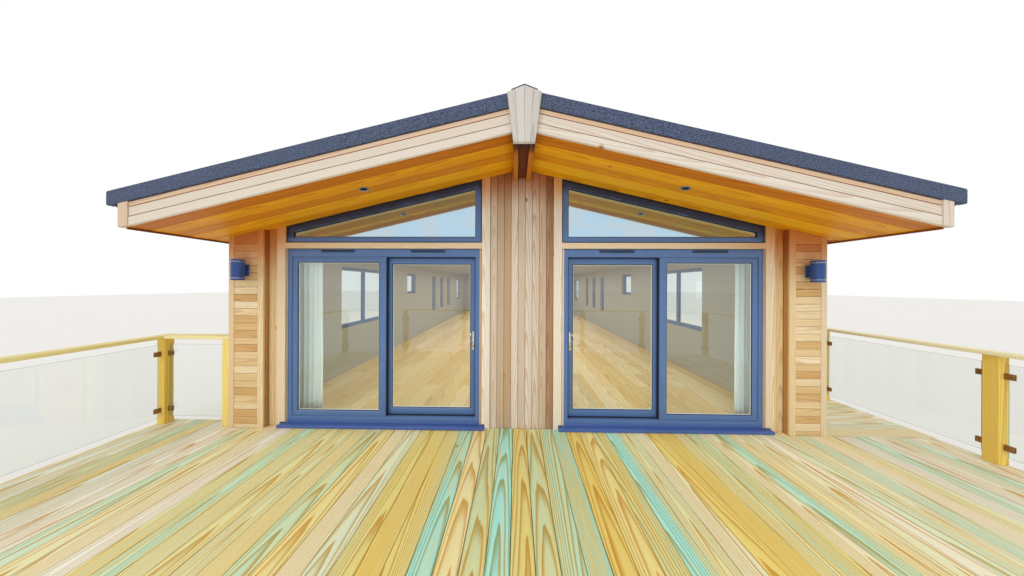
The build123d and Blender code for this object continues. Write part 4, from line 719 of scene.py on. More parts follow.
class CARAVAN_OT_side_boards(bpy.types.Operator):
    """Lays the upright boards of both sides and the back, cut round the windows"""
    bl_idname = "caravan.side_boards"
    bl_label = "Side and back boards"

    def execute(self, context):
        sizes = context.scene.caravan_sizes
        sides = Boards(sizes.board_edge, 21)
        low, high, start, end = CLAD_FOOT, behind_soffit(WALL_FACE), -0.044, BACK_FACE - CLAD_THICK
        count = round((end - start) / sizes.side_board)
        step = (end - start) / count
        for side in (1, -1):
            x0, x1 = sorted((side * (WALL_FACE - CLAD_THICK), side * WALL_FACE))
            for index in range(count):
                like, a = None, start + index * step + HALF_JOINT
                for a0, a1, z0, z1 in round_windows(a, a + step - 2 * HALF_JOINT, low, high, WINDOWS_SIDE):
                    made = sides.lay((x0, a0, z0), (x1, a1, z1), "z", like=like,
                                     top=behind_soffit if z1 == high else None)
                    like = like or made
        sides.fitted("side_boards", "cedar_planed", "cedar_cladding", "side_cladding")
        skin = Boards(0.0002, 23)
        for a0, a1, z0, z1 in round_windows(start, end, low + 0.001, high - 0.002, WINDOWS_SIDE):
            skin.pair((3.3834, a0, z0), (3.3844, a1, z1), "z")

        back = Boards(sizes.board_edge, 22)
        count = round(2 * WALL_FACE / sizes.side_board)
        step = 2 * WALL_FACE / count
        for index in range(count):
            like, a = None, index * step - WALL_FACE + HALF_JOINT
            middle = a + step / 2
            # The boards below the ridge beam end square under it.
            below_beam = abs(middle) < 0.097
            high = 3.486 if below_beam else behind_soffit(middle)
            for a0, a1, z0, z1 in round_windows(a, a + step - 2 * HALF_JOINT, CLAD_FOOT, high, WINDOWS_BACK):
                made = back.lay((a0, end, z0), (a1, BACK_FACE, z1), "z", like=like,
                                top=behind_soffit if z1 == high and not below_beam else None)
                like = like or made
        back.fitted("back_boards", "cedar_planed", "cedar_cladding", "back_cladding")
        y0, y1 = end + 0.0004, end + 0.0014
        for a0, a1, z0, z1 in round_windows(-3.401, 3.401, 0.481, 2.80, WINDOWS_BACK):
            skin.lay((a0, y0, z0), (a1, y1, z1), "z")
        skin.pair((BEAM_SIDE, y0, 2.801), (3.401, y1, 3.4), "z", top=soffit)
        skin.fitted("side_membrane", "membrane_black", "cedar_cladding")
        return {"FINISHED"}


class CARAVAN_OT_door_trims(bpy.types.Operator):
    """Fixes the pale trim boards up both sides of each door and its gable window, and the head board between"""
    bl_idname = "caravan.door_trims"
    bl_label = "Door trims"

    def execute(self, context):
        trims, front, back, cill_top = Boards(0.002, 31), -CLAD_THICK, -0.0005, 0.652
        # Inner and outer trims are 95 mm wide. Below the top of the cill they are cut back beside it.
        for x0, x1, foot0, foot1, z1, tone in ((0.368, 0.463, 0.368, 0.427, 3.4, 0.8),
                                               (2.782, 2.877, 2.840, 2.877, 2.9, 0.3)):
            trims.pair((x0, front, cill_top), (x1, back, z1), "z", top=soffit, tone=tone)
            trims.pair((foot0, front, DECK_TOP), (foot1, back, cill_top - 0.0005), "z", tone=tone)
        trims.pair((0.4632, front, 2.693), (2.7818, back, 2.760), "x", tone=0.25)
        trims.fitted("door_trims", "cedar_trim", "cedar_cladding", "door_surrounds")
        return {"FINISHED"}


# ---------------------------------------------------------------- porch and eaves

class CARAVAN_OT_soffits(bpy.types.Operator):
    """Lays the amber boards of the porch soffit and of the eaves"""
    bl_idname = "caravan.soffits"
    bl_label = "Soffits"

    def execute(self, context):
        porch, count = Boards(0.003, 41), context.scene.caravan_sizes.soffit_boards
        step = 0.703 / count
        for index in range(count):
            y0 = PORCH_FRONT + index * step + 0.0015
            y1 = y0 + step - 0.003
            tone = (0.25, 0.75, 0.45, 0.95, 0.6)[index % 5]
            over = dict(along="x", raked=True)
            made = porch.lay((BEAM_SIDE, y0, 0.0), (2.994, y1, SOFFIT_THICK), tone=tone, **over)
            # The left half's boards take four fifths of the right half's tone: painted shade, the left soffit being
            # lit less.
            other = porch.lay((-2.994, y0, 0.0), (-BEAM_SIDE, y1, SOFFIT_THICK), tone=tone * 0.8, **over)
            if y0 < -0.075:
                # In front of the piers the same boards run on to the eaves.
                y1 = min(y1, -0.066)
                porch.lay((2.9945, y0, 0.0), (3.5475, y1, SOFFIT_THICK), like=made, **over)
                porch.lay((-3.5475, y0, 0.0), (-2.9945, y1, SOFFIT_THICK), like=other, **over)
        porch.fitted("porch_soffit_boards", "soffit_amber", "amber_soffit", "porch_soffit")

        eaves = Boards(0.0018, 42)
        for x0, x1 in ((3.4052, 3.4755), (3.4775, 3.5475)):
            for index in range(4):
                y0 = PIER_FRONT + index * 3.122
                eaves.pair((x0, y0, 0.0), (x1, y0 + 3.12, SOFFIT_THICK), "y", raked=True)
        for y0, y1 in ((12.2022, 12.3125), (12.3145, 12.4248)):
            eaves.pair((BEAM_SIDE, y0, 0.0), (WALL_FACE, y1, SOFFIT_THICK), "x", raked=True)
        eaves.fitted("eaves_soffit_boards", "soffit_amber", "amber_soffit", "eaves_soffits")
        # A dark bead closes the joint between the soffit and the eaves board, a little below both. Its dark colour is
        # painted shade, standing for the shaded inner face of the eaves board.
        bead = Boards(0.002, 43)
        for index in range(4):
            y0 = -0.7045 + index * 3.284
            bead.pair((3.5480, y0, -0.016), (3.5600, y0 + 3.283, SOFFIT_THICK), "y", raked=True)
        backing = Boards(0.0002, 44)
        for x1, y0, y1 in ((3.547, -0.704, -0.066), (2.993, -0.066, -0.003)):
            backing.pair((0.098, y0, 0.0105), (x1, y1, 0.0118), "x", raked=True)
        bead.fitted("eaves_beads", "cedar_groove", "amber_soffit")
        backing.fitted("soffit_backing", "membrane_black", "amber_soffit")
        return {"FINISHED"}


class CARAVAN_OT_fascias(bpy.types.Operator):
    """Fixes the fascia boards in three strips, their end blocks, the eaves boards and the keystone over the ridge"""
    bl_idname = "caravan.fascias"
    bl_label = "Fascias and keystone"

    def execute(self, context):
        # Each strip: its offsets from the soffit line and its tone. The lowest stands 3 mm prouder.
        strips = ((0.0, 0.0742, 0.95), (0.0818, 0.1612, 0.75), (0.1688, 0.2065, 0.3))
        for name, face, rear, block, seed in (("front_fascia", -0.730, -0.7052, -0.740, 51),
                                              ("back_fascia", 12.450, 12.4252, 12.460, 52)):
            out = math.copysign(1, face)
            boards = Boards(0.002, seed)
            for low, high, tone in strips:
                y0, y1 = sorted((face + out * (0.0 if low > 0 else 0.003), rear))
                boards.pair((BEAM_SIDE, y0, low), (3.4995, y1, high), "x", raked=True, tone=tone)
            y0, y1 = sorted((block, rear))
            boards.pair((3.5, y0, 0.0), (3.585, y1, 0.213), "z", raked=True)
            boards.fitted(name + "_boards", "fascia_pale", "pale_fascia", name)
            # The groove between two strips is backed in dark cedar, a painted shade, so it reads as a dark line and
            # not as a slot. The top line, under the verge, is a painted shadow.
            groove_shade = Boards(0.0005, seed + 5)
            y0, y1 = sorted((face - out * 0.003, rear))
            for level in (0.078, 0.165, 0.2085):
                groove_shade.pair((BEAM_SIDE, y0, level - 0.0045), (3.4995, y1, level + 0.0045), "x", raked=True)
            groove_shade.fitted(name + "_grooves", "cedar_groove", "pale_fascia")

        eaves = Boards(0.002, 53)
        for low, high in ((0.0, 0.139), (0.1395, 0.28)):
            for index in range(3):
                y0 = -0.7048 + index * 4.3765
                eaves.pair((3.5602, y0, low), (3.585, y0 + 4.3755, high), "y", raked=True)
        eaves.fitted("eaves_boards", "fascia_pale", "pale_fascia", "eaves_fascias")

        # The keystone is four upright boards side by side, wider at the top, under a thin dark capping.
        top_half, foot_half = 0.148, 0.093
        foot, shoulder, peak = SOFFIT_APEX - 0.130, SOFFIT_APEX + 0.292, SOFFIT_APEX + 0.350

        def peaked(points):
            """Draws a level top up to the two-way top of the keystone."""
            points[:, 2] += (peak - shoulder) * (1 - np.abs(points[:, 0]) / top_half)
            return points

        def spread(points):
            """Draws the boards out from their straight stack to the keystone's taper and its two-way top."""
            part = (points[:, 2] - foot) / (shoulder - foot)
            points[:, 0] *= foot_half / top_half + (1 - foot_half / top_half) * np.clip(part, 0, 1)
            points[part > 0.9] = peaked(points[part > 0.9])
            return points

        stones = Boards(0.0022, 54)
        for a, b, tone in ((-0.148, -0.0805, 0.35), (-0.0795, -0.0005, 0.9), (0.0005, 0.0795, 0.6),
                           (0.0805, 0.148, 0.2)):
            stones.lay((a, -0.77, foot), (b, -0.732, shoulder), "z", tone=tone, warp=spread)
        stones.fitted("keystone_boards", "keystone_pale", "pale_fascia", "keystone_cover")
        capping = Boards(0.001, 56)
        capping.pair((0.0, -0.7695, shoulder + 0.0004), (0.112, -0.731, shoulder + 0.0104), "x", warp=peaked)
        capping.fitted("keystone_capping", "tile_granules", "roof_sheet")

        beam, front = Boards(0.003, 55), -0.7299
        beam.pair((0.0482, front, 3.488), (0.097, 12.45, 3.6), "y", top=behind_soffit, tone=0.85)
        # The middle timber, recessed 30 mm between the cheeks, takes the darkest tone: painted shade in the recess.
        beam.lay((-0.048, front, 3.518), (0.048, 12.449, 3.6), "y", top=behind_soffit, tone=0.12)
        beam.fitted("ridge_beam_timbers", "beam_stained", "cedar_cladding", "ridge_beam")
        return {"FINISHED"}


# ---------------------------------------------------------------- roof

def roof_tile(wave, course):
    """Models one pressed tile: a grid whose columns are lifted to a roll and a pan, with a lip at its lower end."""
    clear_selection()
    bpy.ops.mesh.primitive_grid_add(x_subdivisions=1, y_subdivisions=10, size=1)
    piece = bpy.context.object
    heights = (0.0, 0.009, 0.018, 0.021, 0.018, 0.009, 0.0, -0.003, -0.004, -0.003, 0.0)
    for column, height in enumerate(heights):
        if height:
            pick(piece, "VERT", lambda point: abs(point.co.y - (column / 10 - 0.5)) < 0.01)
            bpy.ops.transform.translate(value=(0, 0, height))
            bpy.ops.object.mode_set(mode="OBJECT")
    pick(piece, "VERT", lambda point: point.co.x > 0.4)
    bpy.ops.transform.translate(value=(0, 0, 0.012))
    bpy.ops.mesh.extrude_region_move(TRANSFORM_OT_translate={"value": (0, 0, -0.016)})
    bpy.ops.mesh.select_all(action="SELECT")
    bpy.ops.mesh.normals_make_consistent(inside=False)
    bpy.ops.object.mode_set(mode="OBJECT")
    points, faces = pattern_of(piece)
    points[:, 0] = (points[:, 0] + 0.5) * course
    points[:, 1] *= wave
    up = np.cross(points[faces[0][1]] - points[faces[0][0]], points[faces[0][2]] - points[faces[0][1]])[2]
    # The extrusion leaves the order of its faces to chance, so they are sorted.
    return points, sorted(face[::-1] if up < 0 else face for face in faces)


class CARAVAN_OT_roof(bpy.types.Operator):
    """Covers the roof with pressed tiles, verge trims, an eaves drip and ridge pieces, and hangs the gutters"""
    bl_idname = "caravan.roof"
    bl_label = "Roof and gutters"

    def execute(self, context):
        sizes = context.scene.caravan_sizes
        verges, verge_out = ((-0.745, -0.7055), (12.4255, 12.465)), 3.676
        span = verges[1][1] - verges[0][0] - 0.06
        waves, courses = round(span / sizes.tile_wave), round(3.66 / sizes.tile_course)
        wave, course = span / waves, 3.66 / courses
        tiles = Copies(roof_tile(wave, course))
        for side in (1, -1):
            for row in range(courses):
                for column in range(waves):
                    tile = tiles.shape + (0.02 + row * course, -0.715 + (column + 0.5) * wave, 0.303)
                    tile[:, 2] += soffit(tile[:, 0])
                    tiles.put(tile * (side, 1, 1), turned=side < 0)
        piece = tiles.joined("roof_tiles")
        take_up(piece)
        smooth()
        fit(piece, "tile_granules", "roof_sheet", "roof_covering")

        trims = Boards(0.0022, 61)
        for front, back in verges:
            at_front = front < 0
            for x0, x1, lap in ((0.001, 1.60, 0.0016), (1.585, verge_out, 0.0)):
                y0, y1 = (front + lap, back) if at_front else (front, back - lap)
                trims.pair((x0, y0, 0.213), (x1, y1, 0.3395 - lap), "x", raked=True)
            y0, y1 = (front + 0.003, front + 0.09) if at_front else (back - 0.09, back - 0.003)
            trims.pair((0.001, y0, 0.3345), (verge_out, y1, 0.3398), "x", raked=True)
            trims.pair((3.6765, front + 0.001, 0.221), (3.683, back - 0.001, 0.334), "z", raked=True)
        trims.pair((0.001, -0.704, 0.281), (3.672, 12.424, 0.3), "y", raked=True)
        trims.pair((3.6725, -0.7035, 0.272), (3.683, 12.4235, 0.314), "y", raked=True)
        trims.fitted("roof_trims", "tile_granules", "roof_sheet")

        # Ridge pieces lap the next by 30 mm, and every other one lies 3 mm lower.
        ridge, lengths, first = Boards(0.004, 62), 14, -0.7295
        step = (verges[1][1] - first) / lengths
        for index in range(lengths):
            drop = 0.0 if index % 2 else 0.003
            y0 = first + index * step + (0.07 if index == 0 else 0.0)
            y1 = first + (index + 1) * step + (0.0 if index == lengths - 1 else 0.03)
            ridge.pair((0.0, y0, 0.341 - drop), (0.160 - drop, y1, 0.3755 - drop), "y", raked=True)
        ridge.fitted("ridge_pieces", "tile_granules", "roof_sheet", "ridge_cap")
        eased("gutters", 0.0012, "gutter_pvc", "gutter_plastic", segments=1)
        return {"FINISHED"}


# ---------------------------------------------------------------- doors and windows

def glazing(name, panes, body="building"):
    """A dark gasket round each pane and the pale spacer bar inside its sealed unit: left, right, bottom, top, glass
    face, and the top's offset from the soffit line where it is raked."""
    gasket, spacer = Boards(0.0008, 71), Boards(0.0006, 72)
    for left, right, bottom, top, face, offset in panes:
        # Each strip's width, how far in from the pane's edge it lies, and its two faces from the glass.
        for boards, width, inset, front, back in ((gasket, 0.0075, -0.001, -0.0030, -0.0003),
                                                  (spacer, 0.0055, 0.0062, 0.0040, 0.0170)):
            y0, y1 = face + front, face + back
            a, b, c, d = left + inset, right - inset, bottom + inset, top - inset
            raked = offset is not None
            slope = offset - inset if raked else 0.0
            upper = (lambda x, slope=slope: soffit(x) + slope) if raked else None
            boards.lay((a, y0, c), (b, y1, c + width), "x")
            for x0, x1 in ((a, a + width), (b - width, b)):
                boards.lay((x0, y0, c + width), (x1, y1, d - (0 if raked else width)), "z", top=upper)
            if raked:
                boards.lay((a + width, y0, slope - width), (b - width, y1, slope), "x", raked=True)
            else:
                boards.lay((a, y0, d - width), (b, y1, d), "x")
    gasket.fitted(name + "_gaskets", "rubber_gasket", "anthracite_upvc", body=body)
    spacer.fitted(name + "_spacers", "spacer_bar", "anthracite_upvc", body=body)


def handle_set(side, word, body):
    """Builds a leaf's handle: a rounded back plate, a bowed pull drawn along a smooth path, and a lock cylinder."""
    middle = 0.576
    plate = moulded_block(word + "_handle_plate", (side * middle - 0.014, 0.0585, 1.495),
                          (side * middle + 0.014, 0.0660, 1.710), 0.0032, 3)
    clear_selection()
    bpy.ops.curve.primitive_nurbs_path_add()
    path = bpy.context.object
    spline = path.data.splines[0]
    spline.points.add(2)
    places = ((middle, 0.062, 1.698), (0.580, 0.030, 1.703), (0.596, 0.012, 1.694), (0.606, 0.008, 1.655),
              (0.602, 0.010, 1.612), (0.584, 0.026, 1.588), (middle, 0.062, 1.590))
    for point, (x, y, z) in zip(spline.points, places):
        point.co = (side * x, y, z, 1)
    spline.order_u = 4
    spline.use_endpoint_u = True
    path.data.bevel_depth = 0.0058
    path.data.bevel_resolution = 4
    path.data.use_fill_caps = True
    path.location = (0, 0, 0)
    bpy.ops.object.convert(target="MESH")
    edit((bpy.ops.mesh.normals_make_consistent, dict(inside=False)))
    smooth(50)
    plate.select_set(True)
    bpy.context.view_layer.objects.active = plate
    bpy.ops.object.join()
    fit(plate, "chrome_plated", "handle_chrome", body + "_handle", body=body)

    clear_selection()
    bpy.ops.mesh.primitive_cylinder_add(vertices=24, radius=0.008591, depth=0.010614, rotation=(math.pi / 2, 0, 0),
                                        location=(side * middle, 0.0545, 1.535), end_fill_type="NGON")
    lock = placed(bpy.context.object, word + "_lock_cylinder")
    smooth()
    fit(lock, "brass_lacquered", "handle_chrome", body=body)


class CARAVAN_OT_doors(bpy.types.Operator):
    """Builds both patio doors: rounded profiles, gaskets, handles and cills"""
    bl_idname = "caravan.doors"
    bl_label = "Patio doors"

    def execute(self, context):
        width = context.scene.caravan_sizes.frame_round
        for node in ("door_frames", "fixed_sashes"):
            eased(node, width, "upvc_foiled", "anthracite_upvc")
        eased("door_cills", 0.003, "upvc_cill", "cill_upvc")
        glazing("fixed_sash", [(x0, x1, 0.771, 2.534, 0.025, None) for x0, x1 in ((1.685, 2.664), (-2.664, -1.685))])
        for word, side, left, right in (("right", 1, 0.607, 1.555), ("left", -1, -1.555, -0.607)):
            body = word + "_leaf"
            eased(body + "_frame", width, "upvc_foiled", "anthracite_upvc", body)
            glazing(body, [(left, right, 0.792, 2.519, 0.074, None)], body)
            handle_set(side, word, body)
        # Weather seals on the frame in front of each leaf: the dark line all round it and up the meeting edge. Under
        # the head and up the meeting edge they are drawn wider as painted shade, for the shadow gaps there.
        seal_shade_strips = Boards(0.001, 73)
        for x0, x1, y0, z0, z1, along in (
                (0.5401, 0.5520, 0.046, 0.7075, 2.5975, "z"), (0.5521, 1.6010, 0.046, 2.5855, 2.5975, "x"),
                (0.5521, 1.6010, 0.046, 0.7075, 0.7185, "x"), (1.5945, 1.6013, 0.022, 0.7190, 2.5850, "z")):
            seal_shade_strips.pair((x0, y0, z0), (x1, 0.060, z1), along)
        seal_shade_strips.fitted("door_seals", "rubber_gasket", "anthracite_upvc")
        for middle, word in ((-2.168, "left_outer"), (-1.099, "left_inner"), (1.099, "right_inner"),
                             (2.168, "right_outer")):
            hood = moulded_block(word + "_vent_hood", (middle - 0.203, -0.0090, 2.6470),
                                 (middle + 0.203, 0.0040, 2.6740), 0.0012, 1, cut=0.007)
            fit(hood, "vent_moulded", "anthracite_upvc")
        for node in ("fixed_glass", "left_leaf_glass", "right_leaf_glass"):
            clothe(node, "glass_float")
        return {"FINISHED"}


class CARAVAN_OT_windows(bpy.types.Operator):
    """Builds the raked gable windows and the windows of the sides and back"""
    bl_idname = "caravan.windows"
    bl_label = "Windows"

    def execute(self, context):
        width = context.scene.caravan_sizes.frame_round
        for node in ("gable_window_frames", "window_frames"):
            eased(node, width, "upvc_foiled", "anthracite_upvc")
        # The bead covers 12 mm of each pane, so the gasket and the spacer show that far in from its edge.
        panes, bead = [], 0.012
        for low, high in solid_boxes("gable_window_glass"):
            offset = high[2] - soffit(min(abs(low[0]), abs(high[0]))) - 0.0125
            panes.append((low[0] + bead, high[0] - bead, low[2] + bead, high[2], low[1], offset))
        glazing("gable", panes)
        # A black strip like expanding tape lines the joint between the raked head, the inner stile and the boards
        # round them. Its black is painted shade, the soffit's shade along the top of the frame.
        face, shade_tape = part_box("gable_window_frames")[0][1], Boards(0.0008, 74)
        y0, y1 = face - 0.0025, face + 0.004
        shade_tape.pair((0.4685, y0, -0.022), (2.794, y1, -0.001), "x", raked=True)
        shade_tape.pair((0.4685, y0, 2.766), (0.4765, y1, 3.4), "z", top=lambda x: soffit(x) - 0.022)
        shade_tape.fitted("gable_tape", "rubber_gasket", "anthracite_upvc")
        clothe("gable_window_glass", "glass_coated")
        clothe("window_glass", "glass_float")
        return {"FINISHED"}


# ---------------------------------------------------------------- deck

def screw_head():
    """Models one countersunk screw head: a low disc whose middle is pressed in."""
    clear_selection()
    bpy.ops.mesh.primitive_cylinder_add(vertices=8, radius=0.0045, depth=0.002, end_fill_type="NGON")
    piece = bpy.context.object
    pick(piece, "FACE", lambda face: face.normal.z > 0.9)
    bpy.ops.mesh.inset(thickness=0.0028, depth=-0.0012)
    bpy.ops.object.mode_set(mode="OBJECT")
    return pattern_of(piece)


class CARAVAN_OT_deck(bpy.types.Operator):
    """Lays the reeded deck boards and the walkway, drives their screws and closes the deck's sides with slats"""
    bl_idname = "caravan.deck"
    bl_label = "Deck"

    def execute(self, context):
        sizes = context.scene.caravan_sizes
        pitch, gap = sizes.deck_pitch, sizes.deck_gap
        random = np.random.default_rng(81)
        # Boards that still show the treatment's green, by the place of their middle, and how strongly.
        green = {-0.62: 0.85, -0.32: 0.45, -0.17: 1.0, 0.13: 0.45, 0.28: 0.6, 0.43: 0.75, 0.88: 0.35, 1.03: 0.95,
                 1.93: 0.4, 2.23: 0.7, -1.67: 0.5, -1.22: 0.3, -2.42: 0.6, 2.83: 0.35, 3.13: 0.5, 3.73: 0.55,
                 -3.17: 0.45, -3.92: 0.5, 4.18: 0.5}
        # The boards run up to the door wall between the piers, else to the piers' face and round their corners.
        left, right, pier, corner = -4.355, 4.575, 2.99, -3.408
        wall_end, pier_end, side_end, pier_gap = -0.005, -0.069, 0.098, -0.0688
        boards, screws = Boards(0.003, 82), []
        joists = [DECK_FRONT + 2.96 * index / 8 + 0.0235 for index in range(9)]
        for index in range(62):
            start = -0.245 + (index - 28) * pitch
            a, b = max(start + gap / 2, left), min(start + pitch - gap / 2, right)
            if b - a < 0.02:
                continue
            middle = start + pitch / 2
            tint = max((value for place, value in green.items() if abs(place - middle) < pitch / 2),
                       default=0.22 * random.random())
            outward = min(1.0, abs(middle) / 3.2)
            tone = float(np.clip(0.02 + 0.50 * outward + 0.62 * random.random(), 0, 1))
            inside = a > -pier and b < pier
            back = wall_end if inside else side_end if b < corner else pier_end
            made = boards.lay((a, DECK_FRONT, DECK_UNDER), (b, back, DECK_TOP), "y", tone=tone, green=tint)
            if not inside:
                for edge, x0, x1, y1 in ((-pier, -pier, b, wall_end), (pier, a, pier, wall_end),
                                         (corner, a, corner, side_end)):
                    if a < edge < b:
                        boards.lay((x0, pier_gap, DECK_UNDER), (x1, y1, DECK_TOP), "y", like=made)
            for y in joists:
                screws += [(a + 0.028, y), (b - 0.028, y)] if b - a > 0.09 else [((a + b) / 2, y)]
        boards.fitted("deck_planks", "deck_pine", "deck_pine", "deck_boards")

        walkway, depth = Boards(0.003, 83), 2.262
        count = round(depth / pitch)
        step = depth / count
        for index in range(count):
            y0 = PIER_FRONT + index * step
            walkway.lay((-corner, y0, DECK_UNDER), (right, y0 + step - gap, DECK_TOP), "x",
                        tone=float(0.55 + 0.4 * random.random()), green=0.25 if index in (1, 4, 9) else 0.05)
            for x in (3.4315, 3.803, 4.174, 4.545):
                screws += [(x, y0 + 0.03), (x, y0 + step - gap - 0.03)]
        walkway.fitted("walkway_planks", "deck_pine", "deck_pine")

        heads = Copies(screw_head())
        for x, y in screws:
            heads.put(heads.shape + (x, y, 0.5992))
        fit(heads.joined("deck_screws"), "screw_zinc", "clamp_steel")
        slats("deck_slats", "deck_pine", "deck_skirting", 84, 0.082)
        slats("base_slats", "structural_timber", "skirting", 85, 0.0775)
        for node in ("deck_joists", "deck_bearers", "deck_posts"):
            clothe(node, "sawn_pine")
        return {"FINISHED"}


class CARAVAN_OT_balustrade(bpy.types.Operator):
    """Builds the posts, handrails, glass and clamps of the balustrade"""
    bl_idname = "caravan.balustrade"
    bl_label = "Balustrade"

    def execute(self, context):
        posts = Boards(0.006, 91)
        for low, high in solid_boxes("balustrade_posts"):
            at_pier = -3.6 < low[0] < -3.4
            # The post against the pier stands forward to the pier's face, where the handrail still covers it.
            forward = (0, 0.025 * at_pier, 0)
            posts.lay(low - forward, high - forward, "z", tone=0.85 if at_pier else 0.55)
        posts.fitted("rail_posts", "rail_pine", "deck_pine", "balustrade_posts")
        rails = Boards(0.007, 92)
        for low, high in solid_boxes("handrails"):
            rails.lay(low, high, "x" if high[0] - low[0] > high[1] - low[1] else "y")
        rails.fitted("rail_tops", "handrail_pine", "deck_pine", "handrails")
        rims = Boards(0.0003, 93)
        for low, high in solid_boxes("balustrade_glass"):
            along = 0 if high[0] - low[0] > high[1] - low[1] else 1
            for axis, ends, run in ((2, ((low[2] - 0.0012, low[2] + 0.0002), (high[2] - 0.0002, high[2] + 0.0012)),
                                     "xy"[along]),
                                    (along, [(end[along] - 0.0008, end[along] + 0.0008) for end in (low, high)], "z")):
                for start, stop in ends:
                    a, b = low.copy(), high.copy()
                    a[axis], b[axis] = start, stop
                    rims.lay(a, b, run)
        rims.fitted("glass_rims", "glass_edge", "toughened_glass")
        eased("glass_clamps", 0.003, "steel_brushed", "clamp_steel")
        clothe("balustrade_glass", "glass_toughened")
        return {"FINISHED"}


# ---------------------------------------------------------------- lights

class CARAVAN_OT_lights(bpy.types.Operator):
    """Builds the two up and down wall lights with their rings and lenses, and the two downlights"""
    bl_idname = "caravan.lights"
    bl_label = "Lights"

    def execute(self, context):
        eased("wall_lights", 0.002, "powder_coat", "light_metal")
        eased("downlights", 0.001, "aluminium_spun", "downlight_metal", segments=1)
        for side, word in ((-1, "left_"), (1, "right_")):
            x, y = side * 3.199, -0.149
            for part, z in (("lower", 2.337), ("upper", 2.522)):
                ring = disc(word + part + "_ring", (x, y, z), 0.0573, 0.0078, 0.0011, segments=2, vertices=48)
                smooth()
                fit(ring, "aluminium_spun", "downlight_metal")
            for part, z in (("lower", 2.3215), ("upper", 2.5375)):
                fit(disc(word + part + "_lens", (x, y, z), 0.0485, 0.004, 0.0012), "lens_frosted", "light_metal")
            out = 1.605
            bulb = disc(word + "downlight_lens", (side * out, -0.4, soffit(out) - 0.0026), 0.0335, 0.0016, 0.0006,
                        turn=side * PITCH)
            fit(bulb, "rubber_gasket", "downlight_metal")
        return {"FINISHED"}


# ---------------------------------------------------------------- room and underside

def hang_curtain(side, word, start):
    """Hangs a curtain from its inner edge to the side wall: a grid drawn into folds that open towards the hem."""
    rail = Boards(0.003, 103)
    x0, x1 = sorted((side * 1.60, side * 2.95))
    rail.lay((x0, 0.181, 2.652), (x1, 0.211, 2.672), "x")
    rail.fitted(word + "_curtain_rail", "aluminium_spun", "interior_white")
    clear_selection()
    bpy.ops.mesh.primitive_grid_add(x_subdivisions=120, y_subdivisions=24, size=1)
    curtain = bpy.context.object
    curtain.name = word + "_curtain"
    end, low, high, fold = 2.97, 0.665, 2.652, 0.062
    row, folds = [], round((end - start) / fold)
    for vertex in curtain.data.vertices:
        t, h = vertex.co.x + 0.5, vertex.co.y + 0.5
        swell = 0.013 + 0.010 * (1 - h)
        x = start + (end - start) * t + 0.008 * math.sin(37.0 * t) * (1 - h)
        y = 0.196 + swell * math.sin(2 * math.pi * folds * t + 0.35 * math.sin(5 * h)) + 0.010 * math.sin(9 * t)
        vertex.co = (side * x, y, low + (high - low) * h)
        if h < 0.001:
            row.append((t, Vector(vertex.co)))
    row.sort(key=lambda pair: pair[0])
    modify(curtain, "SOLIDIFY", thickness=0.0012)
    bpy.ops.object.shade_smooth()
    fit(curtain, "linen_woven", "interior_white")


class CARAVAN_OT_room(bpy.types.Operator):
    """Lays the room's plank floor, hangs a curtain beside each door, and finishes the walls and the underside"""
    bl_idname = "caravan.room"
    bl_label = "Room and underside"

    def execute(self, context):
        slab, front, back = Boards(0.002, 101), 0.02, 12.18
        for index in range(10):
            y0 = front + index * 1.216
            slab.lay((-3.383, y0, CLAD_FOOT), (3.383, y0 + 1.215, 0.617), "x")
        slab.fitted("floor_cassettes", "sawn_softwood", "floor_oak", "floor")
        planks, half, columns = Boards(0.0012, 102), 3.253, 34
        pitch = 2 * half / columns
        for column in range(columns):
            start, length = front, 1.1 + 0.55 * (column % 3)
            x0 = column * pitch - half
            while start < back:
                end = min(start + length, back)
                planks.lay((x0 + 0.0003, start, 0.6175), (x0 + pitch - 0.0003, end - 0.0005, 0.63), "y")
                start, length = end, 2.2
        planks.fitted("floor_planks", "oak_planks", "floor_oak")
        for material, nodes in (
                ("wall_painted", ("front_wall_left", "front_wall_centre", "front_wall_right", "door_lintels",
                                  "left_wall", "right_wall", "back_wall", "ceiling")),
                ("sawn_softwood", ("roof_left", "roof_right")), ("concrete_cast", ("support_stands",)),
                ("chassis_painted", ("chassis_beams", "chassis_cross_members"))):
            for node in nodes:
                clothe(node, material)
        hang_curtain(-1, "left", 2.50)
        hang_curtain(1, "right", 2.62)
        return {"FINISHED"}


# ---------------------------------------------------------------- stage

def soft_light(name, place, size, energy, facing):
    """Adds a soft rectangular lamp that lights the scene and is never seen itself."""
    bpy.ops.object.light_add(type="AREA", location=place)
    lamp = bpy.context.object
    lamp.name = name
    lamp.data.shape = "RECTANGLE"
    lamp.data.size, lamp.data.size_y = size
    lamp.data.energy = energy
    if facing:
        lamp.rotation_euler = Vector(facing).to_track_quat("-Z", "Y").to_euler()
    lamp.visible_camera = lamp.visible_glossy = lamp.visible_transmission = False


